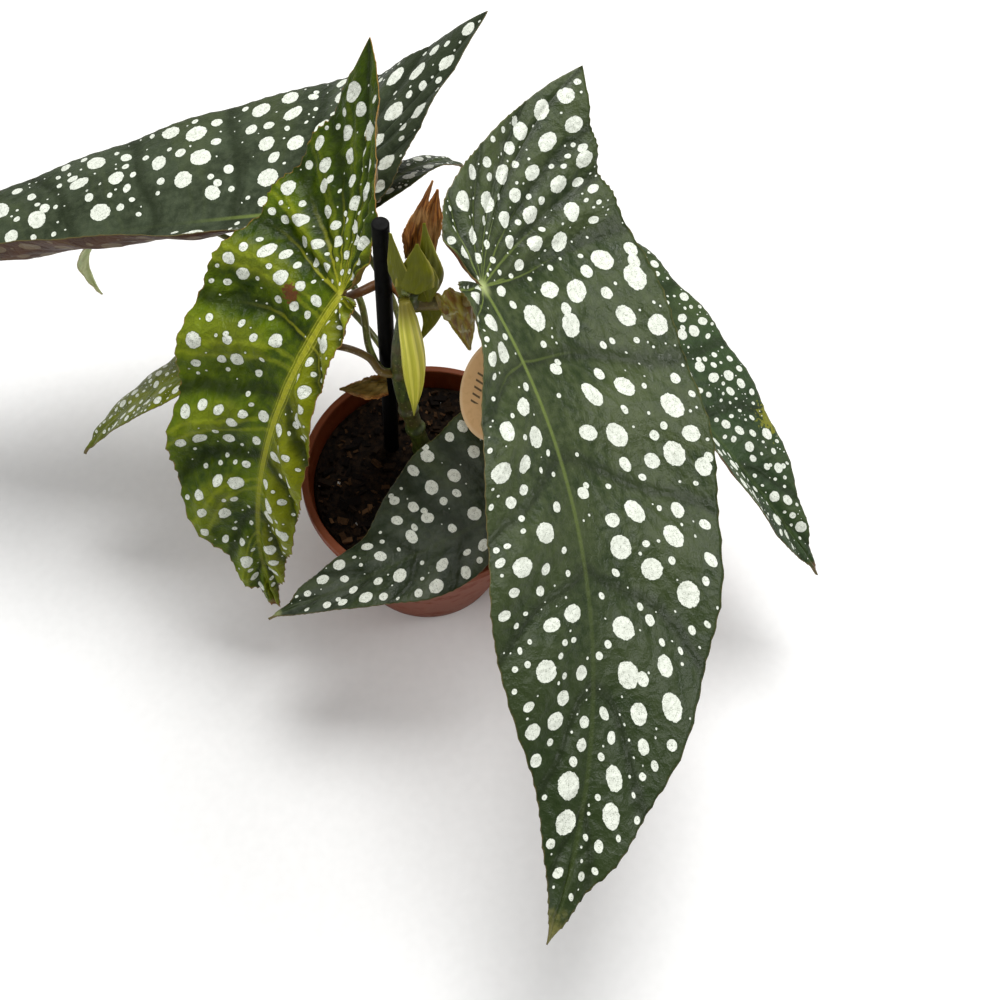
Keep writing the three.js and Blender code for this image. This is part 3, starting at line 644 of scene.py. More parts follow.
def bladeGrid(shape, edge, vein, t):
    # flat place, relief, vein spacing and way to the rim, for vein number and share of the way out
    build, length, last = bladeBuild, shape["length"], bladeBuild["veins"][edge][1]
    outline = bladeOutline(shape)[edge]

    def ray(at):
        foot = np.zeros_like(at)
        if edge != "inner":
            beyondFan = (at - build["fanVeins"]) / (last - build["fanVeins"])
            foot = np.maximum(0, beyondFan) ** build["footSpread"] * length
        start = np.stack([foot, np.zeros_like(foot)], -1)
        return foot, start, splineAt(outline, np.clip(at / last, 0, 1))

    wander = window(vein, 0.5, 1.5, last - 1.2, last - 0.4) * 4 * t * (1 - t)
    vein = vein + build["wander"] * np.sin(2.3 * vein + 5.0 * t) * wander
    foot, start, end = ray(vein)
    away = end - start
    reach = np.maximum(np.linalg.norm(away, axis=-1, keepdims=True), 1e-9)
    bulge = 0.5 - 0.5 * np.cos(fullTurn * vein)
    show = window(vein, 0.4, 0.7, last - 0.6, last - 0.25)
    tooth = (0.5 + 0.5 * np.sin(vein * build["teethPerVein"] * fullTurn + 1.9 * np.sin(vein * 5.3))) ** 2
    toothSize = build["toothHeight"] * shape.get("tooth", 1.0) * length / build["toothLength"]
    toothSize = toothSize * smoothStep(t, 0.9, 1.0)
    push = shape["scallop"] * bulge * show - toothSize * (1 - tooth) * show
    end = end + away / reach * push[..., None]
    flat = start + (end - start) * t[..., None]
    ending = np.clip((last - vein) / 0.5, 0, 1)
    flat[..., 0] -= build["arch"] * foot * 4 * t * (1 - t) * ending
    lift = bladeRelief(shape, edge, flat, vein, t, bulge) * ending
    before = np.floor(np.minimum(vein, last - 1e-3))
    _, beforeStart, beforeEnd = ray(before)
    _, afterStart, afterEnd = ray(before + 1)
    share = t[..., None]
    gap = (afterStart + (afterEnd - afterStart) * share) - (beforeStart + (beforeEnd - beforeStart) * share)
    return flat, lift, np.linalg.norm(gap, axis=-1), (1 - t) * reach[..., 0]


spotRules = {
    "edgeShares": {"inner": 0.16, "wide": 0.5, "narrow": 0.34}, "outward": 0.6, "aspect": (0.66, 0.95),
    "turnSpread": 0.3, "from": 0.06, "lookAhead": 0.02, "besideVein": 0.75, "gapShare": 0.31,
    "gapExtra": 0.2, "smallest": 0.6, "rimShare": 1.08, "rimRoom": 0.5, "ribShare": 0.8, "ribRoom": 1.3,
    "ribFrom": -2, "overlap": 0.95, "twinFrom": 0.5, "twinTurn": 0.9, "twinReach": 1.25, "twinSize": 0.55,
}


def scatterSpots(shape, look, seed):
    # seeded spots: large ones midway between the veins, smaller ones in what is left
    rules = spotRules
    random = np.random.default_rng(seed)
    spots = np.zeros((0, 5))
    big = look["spotSize"]
    edgeNames = list(rules["edgeShares"])
    outline = []
    for edge in edgeNames:
        around = np.linspace(0, bladeBuild["veins"][edge][1], 500)
        outline.append(bladeGrid(shape, edge, around, np.ones(500))[0])
    outline = np.vstack(outline)
    for low, high, room, tries, centred in look["spotPasses"]:
        edges = random.choice(edgeNames, tries, p=list(rules["edgeShares"].values()))
        vein = random.random(tries)
        t = random.random(tries) ** rules["outward"]
        sizes = random.uniform(low, high, tries)
        aspects = random.uniform(*rules["aspect"], tries)
        turns = random.normal(0, rules["turnSpread"], tries)
        for edge in edgeNames:
            chosen = np.nonzero(edges == edge)[0]
            first, last = bladeBuild["veins"][edge]
            at = first + vein[chosen] * (last - first)
            out = rules["from"] + (1 - rules["from"]) * t[chosen]
            flat, _, gap, _ = bladeGrid(shape, edge, at, out)
            ahead = bladeGrid(shape, edge, at, np.minimum(out + rules["lookAhead"], 1.0))[0]
            direction = np.arctan2(ahead[:, 1] - flat[:, 1], ahead[:, 0] - flat[:, 0])
            middle = 1 - 2 * np.abs(at % 1 - 0.5)
            for k, i in enumerate(chosen):
                size = sizes[i] * big * (rules["besideVein"] + (1 - rules["besideVein"]) * middle[k])
                size = min(size, rules["gapShare"] * gap[k] + rules["gapExtra"])
                if size < low * big * rules["smallest"] or middle[k] < centred:
                    continue
                toRim = np.hypot(outline[:, 0] - flat[k, 0], outline[:, 1] - flat[k, 1]).min()
                if toRim < size * rules["rimShare"] + rules["rimRoom"]:
                    continue
                nearRib = abs(flat[k, 1]) < size * rules["ribShare"] + rules["ribRoom"]
                if nearRib and flat[k, 0] > rules["ribFrom"]:
                    continue
                distance = np.hypot(spots[:, 0] - flat[k, 0], spots[:, 1] - flat[k, 1])
                if np.any(distance < (spots[:, 2] + size) * rules["overlap"] + room * big):
                    continue
                spots = np.vstack([spots, [*flat[k], size, size * aspects[i], direction[k] + turns[i]]])
    # now and then two spots run together
    pairs = spots[random.random(len(spots)) < look["doubles"]]
    twin = pairs[pairs[:, 2] > rules["twinFrom"] * big].copy()
    twinTurn = twin[:, 4] + rules["twinTurn"]
    twin[:, 0] += np.cos(twinTurn) * twin[:, 2] * rules["twinReach"]
    twin[:, 1] += np.sin(twinTurn) * twin[:, 2] * rules["twinReach"]
    twin[:, 2:4] *= rules["twinSize"]
    return np.vstack([spots, twin])


def spotOffset(flat, u, v, long, short, turn):
    # place of flat points in units of a turned spot
    du, dv = flat[:, 0] - u, flat[:, 1] - v
    return (du * np.cos(turn) + dv * np.sin(turn)) / long, (dv * np.cos(turn) - du * np.sin(turn)) / short


def paintSpots(piece, spots, flat):
    # every face keeps its two nearest spots; its corners store their offsets in units of the spot
    mesh = piece.data
    corners = np.empty(len(mesh.loops), np.int32)
    mesh.loops.foreach_get("vertex_index", corners)
    totals = np.empty(len(mesh.polygons), np.int32)
    mesh.polygons.foreach_get("loop_total", totals)
    faceOf = np.repeat(np.arange(len(totals)), totals)
    cornerFlat = flat[corners]
    middle = np.stack([np.bincount(faceOf, cornerFlat[:, k]) / totals for k in (0, 1)], 1)
    best = np.full((len(totals), 2), np.inf)
    owner = np.zeros((len(totals), 2), int)
    for index, spot in enumerate(spots):
        outside = (np.hypot(*spotOffset(middle, *spot)) - 1) * math.sqrt(spot[2] * spot[3])
        nearer = outside < best[:, 0]
        best[nearer, 1], owner[nearer, 1] = best[nearer, 0], owner[nearer, 0]
        best[nearer, 0], owner[nearer, 0] = outside[nearer], index
        middling = ~nearer & (outside < best[:, 1])
        best[middling, 1], owner[middling, 1] = outside[middling], index
    for name, k in (("spotOne", 0), ("spotTwo", 1)):
        nearest = spots[owner[faceOf, k]].T
        x, y = spotOffset(cornerFlat, *nearest)
        paintPoints(piece, name, np.stack([x, y, nearest[2]], 1), "CORNER")


def bladeSheet(shape):
    # one flat sheet of quads over all three edges, with the values stored at each point
    flats, faces, values, start = [], [], [], 0
    for edge, (first, last) in bladeBuild["veins"].items():
        columns, rows = (last - first) * shape["steps"] + 1, shape["rows"] + 1
        vein, t = np.meshgrid(np.linspace(first, last, columns), np.linspace(0, 1, rows), indexing="ij")
        flat, lift, gap, rim = bladeGrid(shape, edge, vein, t)
        flats.append(flat.reshape(-1, 2))
        veinFromJoint = last - vein if edge == "inner" else vein
        values.append(np.stack([veinFromJoint.ravel(), gap.ravel(), rim.ravel(), lift.ravel(), t.ravel()]))
        i, j = np.meshgrid(np.arange(columns - 1), np.arange(rows - 1), indexing="ij")
        a = (start + i * rows + j).ravel()
        quads = np.stack([a, a + 1, a + rows + 1, a + rows], 1)
        faces.append(quads[:, ::-1] if (edge == "narrow") == (shape["side"] > 0) else quads)
        start += vein.size
    flat = np.vstack(flats)
    keys = np.round(flat * 500).astype(np.int64)
    _, firstSeen, owner = np.unique(keys, axis=0, return_index=True, return_inverse=True)
    kept = []
    for quad in owner.ravel()[np.vstack(faces)]:
        corners = tuple(int(c) for k, c in enumerate(quad) if c != quad[k - 1])
        if len(set(corners)) >= 3:
            kept.append(corners)
    return flat[firstSeen], kept, np.concatenate(values, 1)[:, firstSeen]


def buildBlade(name, shape, look, topMaterial, underMaterial):
    build = bladeBuild
    place = bladeSurface(shape)
    flat, sheet, (veins, gaps, rims, lifts, outs) = bladeSheet(shape)
    x, y, count = flat[:, 0], flat[:, 1], len(flat)
    half = build["halfThickness"] * (1 - build["rimThinning"] * smoothStep(outs, 0.9, 1.0))
    taper = 1 - build["ribTaper"] * np.clip(x / shape["length"], 0, 1)
    rib = np.exp(-((y / build["ribWidth"]) ** 2)) * smoothStep(x, -4, 4) * taper
    fromVein = np.abs((veins + 0.5) % 1 - 0.5) * gaps
    ridge = np.exp(-((fromVein / build["veinWidth"]) ** 2)) * build["veinDepth"] * (1 - outs)
    upper = place(x, y, lifts + half + rib * build["ribRise"])
    lower = place(x, y, lifts - half - (ridge + rib * look["ribDepth"]))
    edges = {(a, b): True for face in sheet for a, b in zip(face, face[1:] + face[:1])}
    rim = [(a, b) for a, b in edges if (b, a) not in edges]
    faces = sheet + [tuple(count + i for i in reversed(face)) for face in sheet]
    faces += [(b, a, count + a, count + b) for a, b in rim]
    kinds = [0] * len(sheet) + [1] * (len(sheet) + len(rim))
    materials = [topMaterial, underMaterial]
    points = np.vstack([upper, lower])
    piece = makePiece(name + "_leaf", points, faces, materials, look["slot"], [name], kinds)
    spots = scatterSpots(shape, look, look["seed"])
    paintSpots(piece, spots, np.tile(flat, (2, 1)))
    paintPoints(piece, "flat", np.tile(np.column_stack([flat, np.zeros(count)]), (2, 1)))
    stored = {
        "vein": veins, "veinGap": gaps, "rim": rims, "crest": lifts / shape["puff"],
        "midrib": np.where(x > -1, np.abs(y), 9.0), "fromJoint": np.hypot(x, y) / shape["length"],
    }
    for label, values in stored.items():
        paintPoints(piece, label, np.tile(values, 2))
    print("stage:", name, len(faces), "faces", len(spots), "spots")


bladeFinish = {  # scales per millimetre, and where each soft edge begins and ends
    "broad": 0.045, "broadEdge": (0.35, 0.66), "fine": 0.35, "fineEdge": (0.3, 0.75), "crest": (0.45, 1.0),
    "narrowSide": (1.0, -3.0), "shadeBlend": 14.0, "lineHide": 0.8, "bandAcross": (0.8, 3.6),
    "bandAlong": (0.08, 0.8), "bandTaper": 1.15, "strands": 5.6, "strandBend": 5.0, "strandEdge": (0.1, 0.9),
    "baseShow": 0.75, "star": 0.022, "starShow": 0.9, "rimCore": 0.5, "tip": (0.955, 0.99), "tipShow": 0.8,
    "scarRagged": 2.4, "scarCore": 0.6, "spotShade": 0.5, "pitShow": 0.75, "fineRough": 0.1,
    "spotRough": 0.18, "spotRise": 0.25, "coatRoughness": 0.28, "relief": 0.0005,
}


def addStrands(w, colour, look, flat, fromJoint):
    # pale band along the midrib, with brighter strands in it
    f = bladeFinish
    near = w.math("DIVIDE", w.number("midrib"), w.minus(f["bandTaper"], fromJoint))
    band = w.times(w.fade(near, *f["bandAcross"]), w.fade(fromJoint, *f["bandAlong"]))
    bend = w.times(w.flatNoise(flat, 0.12, 2.0), f["strandBend"])
    strand = w.math("SINE", w.plus(w.times(near, f["strands"]), bend))
    colour = w.tint(colour, look["bandColour"], band, look["strandShow"])
    return w.tint(colour, look["strandColour"], band, w.step(strand, *f["strandEdge"]), look["strandShow"])


def addBlemish(w, colour, blemish, flat):
    # ragged patch round one place of the blade
    away = w.add("ShaderNodeVectorMath", {"operation": "DISTANCE"}, in0=flat, in1=blemish["at"])
    uneven = w.minus(w.flatNoise(flat, 0.8, 4.0), 0.5)
    raggedness = w.times(uneven, blemish["size"] * bladeFinish["scarRagged"])
    ragged = w.plus(away.outputs["Value"], raggedness)
    patch = w.fade(ragged, blemish["size"] * bladeFinish["scarCore"], blemish["size"])
    return w.tint(colour, blemish["colour"], patch, blemish["show"])


def bladeTopMaterial(name, look):
    f = bladeFinish
    material, w, shader = newMaterial(
        name, IOR=1.45, Specular_IOR_Level=look["gloss"], Coat_Weight=look["coat"],
        Coat_Roughness=f["coatRoughness"])
    spot = useGroup(w, spotGroup, Cracks=look["cracks"], Ragged=look["ragged"])
    vein = useGroup(w, veinGroup, Width=look["veinWidth"], Net=look["net"])
    flat, fromJoint = w.vector("flat"), w.number("fromJoint")
    along, across, _ = w.split(flat)
    broad = w.step(w.flatNoise(flat, f["broad"], 3.0), *f["broadEdge"])
    fine = w.step(w.flatNoise(flat, f["fine"], 4.0), *f["fineEdge"])
    # ground
    colour = w.mix(broad, look["dark"], look["mid"])
    colour = w.tint(colour, look["light"], fine, look["mottle"])
    # painted highlight: the crest colour laid over the tops of the pillows
    colour = w.tint(colour, look["crestHighlightColour"], w.step(w.number("crest"), *f["crest"]), look["crestHighlightShow"])
    colour = w.tint(colour, look["netColour"], vein["Net"], look["netShow"])
    if look["narrowShow"]:
        narrowSide = w.step(w.plus(across, w.times(fine, 2.0)), *f["narrowSide"])
        colour = w.tint(colour, look["narrowColour"], narrowSide, look["narrowShow"])
    shaded = w.step(w.plus(along, w.times(broad, f["shadeBlend"])), look["shadeFrom"], look["shadeTo"])
    colour = w.tint(colour, look["dark"], shaded, look["shadeShow"])
    # painted shade: darker in the valleys along the veins
    colour = w.tint(colour, look["valleyShadeColour"], vein["ValleyShade"], look["valleyShadeShow"])
    # painted highlight: a lighter line along each crest between the veins, weaker where the blade is shaded
    crestLineHighlight = w.times(vein["CrestHighlight"], w.minus(1.0, w.times(shaded, f["lineHide"])))
    colour = w.tint(colour, look["crestHighlightColour"], crestLineHighlight, look["crestLineHighlightShow"])
    if look["strandShow"]:
        colour = addStrands(w, colour, look, flat, fromJoint)
    # veins, strongest near the joint, and the star where they meet
    veinShow = w.plus(w.times(w.fade(fromJoint, 0.02, look["veinFade"]), f["baseShow"]), look["veinShow"])
    colour = w.tint(colour, look["veinColour"], vein["Vein"], veinShow)
    ribShow = w.plus(w.times(w.fade(fromJoint, 0.05, look["ribFade"]), f["baseShow"]), look["ribShow"])
    colour = w.tint(colour, look["veinColour"], vein["Midrib"], ribShow)
    colour = w.tint(colour, look["starColour"], w.fade(fromJoint, 0.0, f["star"]), f["starShow"])
    # margin, tip and blemishes
    toRim = w.plus(w.number("rim"), w.flatNoise(flat, 0.6, 2.0))
    colour = w.tint(colour, look["rimColour"], w.fade(toRim, f["rimCore"], look["rimWidth"]), look["rimShow"])
    toTip = w.step(w.plus(fromJoint, w.times(fine, 0.02)), *f["tip"])
    colour = w.tint(colour, look["tipColour"], toTip, f["tipShow"])
    for blemish in look.get("blemishes", []):
        colour = addBlemish(w, colour, blemish, flat)
    # spots
    colour = w.tint(colour, look["haloColour"], spot["Edge"], look["haloShow"])
    spotColour = w.tint(look["spotColour"], look["spotShade"], fine, f["spotShade"])
    spotColour = w.tint(spotColour, look["crackColour"], spot["Crackle"])
    spotColour = w.tint(spotColour, look["crackColour"], spot["Centre"], f["pitShow"])
    colour = w.mix(spot["Mask"], colour, spotColour)
    roughness = w.plus(look["roughness"], w.times(fine, f["fineRough"]))
    roughness = w.plus(roughness, w.times(spot["Mask"], f["spotRough"]))
    height = w.plus(vein["Height"], w.times(spot["Mask"], f["spotRise"]))
    finishSurface(w, shader, colour, roughness, height, look["bump"], f["relief"])
    return material


def bladeUnderMaterial(name, look):
    material, w, shader = newMaterial(name, IOR=1.42, Specular_IOR_Level=0.3)
    vein = useGroup(w, veinGroup, Width=1.3, Net=0.8)
    spot = useGroup(w, spotGroup, Cracks=0.0, Ragged=0.25)
    blotch = w.step(w.flatNoise(w.vector("flat"), 0.09, 4.0), 0.36, 0.66)
    colour = w.mix(blotch, look["underDark"], look["underLight"])
    colour = w.tint(colour, look["underSpot"], spot["Mask"], 0.35)
    for part, share in (("Net", 0.35), ("Vein", 0.7), ("Midrib", 0.85)):
        colour = w.tint(colour, look["underVein"], vein[part], share)
    colour = w.tint(colour, look["rimColour"], w.fade(w.number("rim"), 0.1, 0.8), 0.8)
    roughness = w.plus(0.5, w.times(blotch, 0.12))
    finishSurface(w, shader, colour, roughness, w.times(vein["Height"], -1.0), 0.35, bladeFinish["relief"])
    return material


# colours are scene-linear; every blade starts from these and changes what differs
baseLook = {
    "dark": rgba(0.014, 0.027, 0.004), "mid": rgba(0.029, 0.048, 0.009),
    "light": rgba(0.055, 0.08, 0.022), "mottle": 0.35, "netColour": rgba(0.012, 0.02, 0.004),
    "netShow": 0.3, "net": 0.5, "narrowShow": 0.0, "strandShow": 0.0, "shadeFrom": 50.0, "shadeTo": 165.0,
    "shadeShow": 0.8, "valleyShadeColour": rgba(0.008, 0.014, 0.002), "valleyShadeShow": 0.6, "crestLineHighlightShow": 0.12,
    "veinColour": rgba(0.15, 0.2, 0.04), "veinShow": 0.0, "veinFade": 0.22, "veinWidth": 0.6,
    "ribFade": 0.6, "ribShow": 0.1, "starColour": rgba(0.42, 0.48, 0.2),
    "rimColour": rgba(0.12, 0.1, 0.03), "rimWidth": 0.9, "rimShow": 0.6,
    "haloColour": rgba(0.014, 0.026, 0.006), "haloShow": 0.5, "spotColour": rgba(0.72, 0.75, 0.66),
    "spotShade": rgba(0.6, 0.63, 0.54), "crackColour": rgba(0.16, 0.18, 0.12), "cracks": 0.8,
    "ragged": 0.3, "roughness": 0.37, "gloss": 0.24, "coat": 0.03, "bump": 0.45, "crestHighlightShow": 0.3,
    "crestHighlightColour": rgba(0.07, 0.092, 0.03), "tipColour": rgba(0.16, 0.15, 0.04),
    "underDark": rgba(0.1, 0.028, 0.014), "underLight": rgba(0.17, 0.07, 0.025),
    "underVein": rgba(0.2, 0.13, 0.04), "underSpot": rgba(0.36, 0.3, 0.18), "ribDepth": 1.1,
    "spotSize": 4.3, "doubles": 0.06,
    "spotPasses": [
        (0.78, 1.02, 0.62, 900, 0.45), (0.46, 0.7, 0.46, 900, 0.25), (0.24, 0.4, 0.36, 800, 0.1),
        (0.07, 0.15, 0.26, 520, 0.0),
    ],
}
bladeLooks = {
    "blade_a": {
        "seed": 11, "slot": "leaf_dark", "mid": rgba(0.036, 0.052, 0.013),
        "light": rgba(0.075, 0.096, 0.036), "mottle": 0.45, "roughness": 0.33, "gloss": 0.3,
    },
    "blade_b": {
        "seed": 23, "slot": "leaf_light", "dark": rgba(0.02, 0.042, 0.0003),
        "mid": rgba(0.076, 0.12, 0.0004), "light": rgba(0.14, 0.19, 0.001), "mottle": 0.3,
        "narrowShow": 0.55, "narrowColour": rgba(0.2, 0.21, 0.002), "strandShow": 0.6,
        "bandColour": rgba(0.24, 0.26, 0.003), "strandColour": rgba(0.55, 0.52, 0.08), "shadeFrom": 14.0,
        "shadeTo": -34.0, "shadeShow": 0.7, "valleyShadeColour": rgba(0.01, 0.02, 0.0002), "valleyShadeShow": 0.8,
        "crestLineHighlightShow": 0.45, "netColour": rgba(0.025, 0.045, 0.001), "netShow": 0.3, "net": 0.7,
        "veinColour": rgba(0.34, 0.34, 0.02), "veinFade": 0.3, "veinWidth": 0.7, "ribFade": 0.9,
        "ribShow": 0.2, "starColour": rgba(0.45, 0.44, 0.06), "rimColour": rgba(0.3, 0.16, 0.04),
        "haloColour": rgba(0.03, 0.05, 0.001), "haloShow": 0.35, "roughness": 0.34, "gloss": 0.14,
        "coat": 0.03, "bump": 0.55, "spotSize": 2.9, "crestHighlightShow": 0.35,
        "crestHighlightColour": rgba(0.24, 0.28, 0.012),
        "blemishes": [
            {"at": (11.5, 16.0, 0.0), "size": 3.3, "show": 1.0, "colour": rgba(0.15, 0.055, 0.014)},
        ],
        "tipColour": rgba(0.2, 0.08, 0.03), "underDark": rgba(0.14, 0.085, 0.01),
        "underLight": rgba(0.24, 0.17, 0.025),
        "spotPasses": [
            (0.75, 1.02, 0.66, 700, 0.45), (0.5, 0.7, 0.55, 800, 0.3), (0.26, 0.42, 0.5, 700, 0.1),
            (0.09, 0.16, 0.42, 260, 0.0),
        ],
    },
    "blade_c": {
        "seed": 35, "slot": "leaf_dark", "dark": rgba(0.02, 0.029, 0.012),
        "mid": rgba(0.038, 0.052, 0.026), "light": rgba(0.075, 0.094, 0.05), "shadeFrom": 14.0,
        "shadeTo": -40.0, "ribFade": 0.25, "ribShow": 0.03, "spotSize": 4.5, "gloss": 0.22,
        "roughness": 0.46, "veinFade": 0.12, "underDark": rgba(0.05, 0.02, 0.01),
        "underLight": rgba(0.09, 0.04, 0.02), "underVein": rgba(0.12, 0.07, 0.025),
    },
    "blade_d": {
        "seed": 47, "slot": "leaf_dark",
        "blemishes": [
            {"at": (85.0, 24.0, 0.0), "size": 6.5, "show": 0.75, "colour": rgba(0.2, 0.2, 0.01)},
        ],
        "tipColour": rgba(0.14, 0.05, 0.02), "shadeShow": 0.2, "dark": rgba(0.014, 0.03, 0.007),
        "mid": rgba(0.026, 0.05, 0.014), "light": rgba(0.046, 0.08, 0.026), "spotSize": 2.5,
    },
    "blade_e": {
        "seed": 59, "slot": "leaf_dark", "tipColour": rgba(0.3, 0.33, 0.14), "shadeShow": 0.0,
        "ribFade": 0.2, "ribShow": 0.05, "dark": rgba(0.01, 0.02, 0.005),
        # the greyish mid and light tones, mixed by the noise, are partly painted sheen patches over the
        # blade's own dull grey-green
        "mid": rgba(0.044, 0.055, 0.034), "light": rgba(0.075, 0.09, 0.06), "mottle": 0.4,
        "spotSize": 3.0,
        "spotPasses": [
            (0.75, 1.0, 0.75, 600, 0.4), (0.5, 0.7, 0.7, 600, 0.2), (0.22, 0.4, 0.6, 320, 0.1),
            (0.07, 0.13, 0.4, 150, 0.0),
        ],
    },
    "blade_f": {
        "seed": 61, "slot": "leaf_light", "tipColour": rgba(0.16, 0.07, 0.03), "shadeShow": 0.0,
        "valleyShadeColour": rgba(0.06, 0.08, 0.004), "dark": rgba(0.08, 0.1, 0.006),
        "mid": rgba(0.14, 0.165, 0.003), "light": rgba(0.24, 0.27, 0.01), "gloss": 0.15, "spotSize": 2.1,
        "underDark": rgba(0.18, 0.11, 0.02), "underLight": rgba(0.27, 0.19, 0.05), "haloShow": 0.2,
    },
    "blade_g": {
        "seed": 73, "slot": "leaf_dark", "spotSize": 2.3,
    },
    "blade_h": {
        "seed": 87, "slot": "young_leaf", "dark": rgba(0.3, 0.4, 0.16), "mid": rgba(0.42, 0.52, 0.24),
        "light": rgba(0.55, 0.62, 0.35), "spotSize": 1.6, "shadeShow": 0.0,
        "valleyShadeColour": rgba(0.2, 0.28, 0.11), "netColour": rgba(0.16, 0.24, 0.08), "haloShow": 0.0,
        "underDark": rgba(0.4, 0.48, 0.2), "underLight": rgba(0.56, 0.62, 0.32),
        "underVein": rgba(0.5, 0.56, 0.25), "rimColour": rgba(0.45, 0.4, 0.2),
    },
}
for bladeName, shape in bladeShapes.items():
    look = {**baseLook, **bladeLooks[bladeName]}
    topMaterial = bladeTopMaterial(bladeName + " top", look)
    underMaterial = bladeUnderMaterial(bladeName + " under", look)
    buildBlade(bladeName, shape, look, topMaterial, underMaterial)


# cane, petioles and spear

caneValues = {
    "sides": 28, "steps": 220, "nodeWidth": 1.9, "creaseDepth": 0.12, "creaseAt": 2.6, "creaseWidth": 0.5,
    "points": [(-0.5, 10.5, 22), (-1.2, 10, 57), (-4.2, 10, 75), (-7.6, 10, 94), (-9.2, 9, 111),
               (-9, 8.2, 126), (-7, 8.8, 142), (-4.5, 9, 156)],
    "radii": [3, 3, 3.1, 2.9, 2.8, 2.6, 2.5, 2.4],
    "nodes": [((-1.9, 10, 63), 3.9), ((-4.6, 10, 77), 3.7), ((-6.7, 10, 89), 3.7), ((-9.2, 9, 113), 3.3),
              ((-5.3, 8.9, 151), 3.5)],
    "green": rgba(0.075, 0.11, 0.012), "streak": rgba(0.03, 0.048, 0.006), "brown": rgba(0.11, 0.055, 0.015),
    "red": rgba(0.1, 0.04, 0.012), "speck": rgba(0.4, 0.36, 0.2), "roughness": 0.42,
}
petioleValues = {
    "sides": 18, "steps": 90, "seat": 1.5, "clear": 0.88, "sunk": 0.35, "tipShare": 0.8,
    "routes": {
        "blade_a": {"radius": 2.1, "points": [(-5, 9, 150), (3, 9.6, 149.5), (10.5, 9.4, 151)]},
        "blade_b": {"radius": 1.6, "points": [(-6, 9, 149), (-9, 15.5, 147), (-14, 19.3, 146),
                                              (-21, 16, 145.5)]},
        "blade_c": {"radius": 1.2, "points": [(-9, 9, 113), (-14.6, 8, 114.5), (-19, 13.5, 119),
                                              (-22, 24, 130), (-33, 42, 135)]},
        "blade_d": {"radius": 1.5, "points": [(-1.4, 10, 61.8), (8, 9, 61.6), (22, 12, 65), (38, 22, 79),
                                              (45, 34, 104)]},
        "blade_e": {"radius": 1.4, "points": [(-1.4, 10, 61.8), (6, 1, 62.5), (20, -9, 66.5), (32, -14, 73)]},
        "blade_f": {"radius": 1.2, "points": [(-9, 9, 112), (-15, 7, 115.5), (-19, 9, 120.5),
                                              (-28, 10.5, 124), (-46, 14, 116), (-60, 19, 98)]},
        "blade_g": {"radius": 1.1, "points": [(-6, 10, 89), (-7, 24, 95), (-13, 43, 106), (-22, 56, 115)]},
        "blade_h": {"radius": 1.1, "points": [(-7, 10, 90), (-14, 26, 96), (-36, 50, 102), (-76, 70, 107)]},
    },
    "neck": {"points": [(-4.5, 9, 156), (-5.2, 5.6, 162.5), (-6.2, 2.6, 162)], "radii": [1.4, 1.3],
             "steps": 30, "sides": 16},
    "redness": {"blade_a": 0.35, "blade_b": 0.85, "blade_d": 0.4, "blade_e": 0.4, "blade_f": 0.55},
    "green": rgba(0.09, 0.12, 0.02), "streak": rgba(0.2, 0.23, 0.05), "brown": rgba(0.12, 0.075, 0.02),
    "red": rgba(0.19, 0.06, 0.016), "speck": rgba(0.4, 0.36, 0.2), "roughness": 0.4,
}


def stemMaterial(name, values):
    material, w, shader = newMaterial(name, Specular_IOR_Level=0.5, Coat_Weight=0.1, Coat_Roughness=0.3)
    streak = useGroup(w, streakGroup, Lines=1.6, Length=22.0)
    colour = w.mix(streak["Streak"], values["green"], values["streak"])
    colour = w.tint(colour, values["brown"], streak["Blotch"], 0.45)
    colour = w.tint(colour, values["red"], w.number("redness"))
    specks = w.add("ShaderNodeTexVoronoi", None, Vector=w.objectPlace(), Scale=620.0).outputs["Distance"]
    colour = w.tint(colour, values["speck"], w.fade(specks, 0.12, 0.24), 0.5)
    roughness = w.plus(values["roughness"], w.times(streak["Streak"], 0.12))
    finishSurface(w, shader, colour, roughness, streak["Height"], 0.35)
    return material


def caneRelief(angle, share):
    return 1 + 0.025 * np.sin(3 * angle + 9 * share) + 0.012 * np.sin(11 * angle)


def petioleRelief(angle, share):
    return 1 + 0.04 * np.sin(2 * angle + 1.0) + 0.02 * np.sin(5 * angle + 14 * share)


def caneBody():
    c = caneValues
    line = smoothPath(c["points"], c["steps"])
    radii = np.interp(np.linspace(0, 1, c["steps"]), np.linspace(0, 1, len(c["radii"])), c["radii"])
    for at, radius in c["nodes"]:
        away = np.linalg.norm(line - np.array(at), axis=1)
        radii = np.maximum(radii, radii + (radius - radii) * np.exp(-((away / c["nodeWidth"]) ** 2)))
        radii -= c["creaseDepth"] * np.exp(-(((away - c["creaseAt"]) / c["creaseWidth"]) ** 2))
    return tube(line, radii, c["sides"], caneRelief)


def petioleBody(bladeName):
    # runs from the cane to just under the blade, its flat end sunk deeper where the blade lies slanting to it
    p, route = petioleValues, petioleValues["routes"][bladeName]
    place = bladeSurface(bladeShapes[bladeName])
    r = route["radius"]
    tip = r * p["tipShare"]
    under, surface = place(p["seat"], 0, -p["clear"]), place(p["seat"], 0, 0)
    slant = float(np.dot(unit(under - np.array(route["points"][-1], float)), unit(surface - under)))
    end = place(p["seat"], 0, -p["sunk"] - tip * 0.4 * math.sqrt(max(0, 1 - slant ** 2)))
    line = smoothPath(route["points"] + [tuple(end)], p["steps"])
    return tube(line, [r * 1.3, r * 1.05, r, r, r * 0.92, tip * 1.15], p["sides"], petioleRelief)


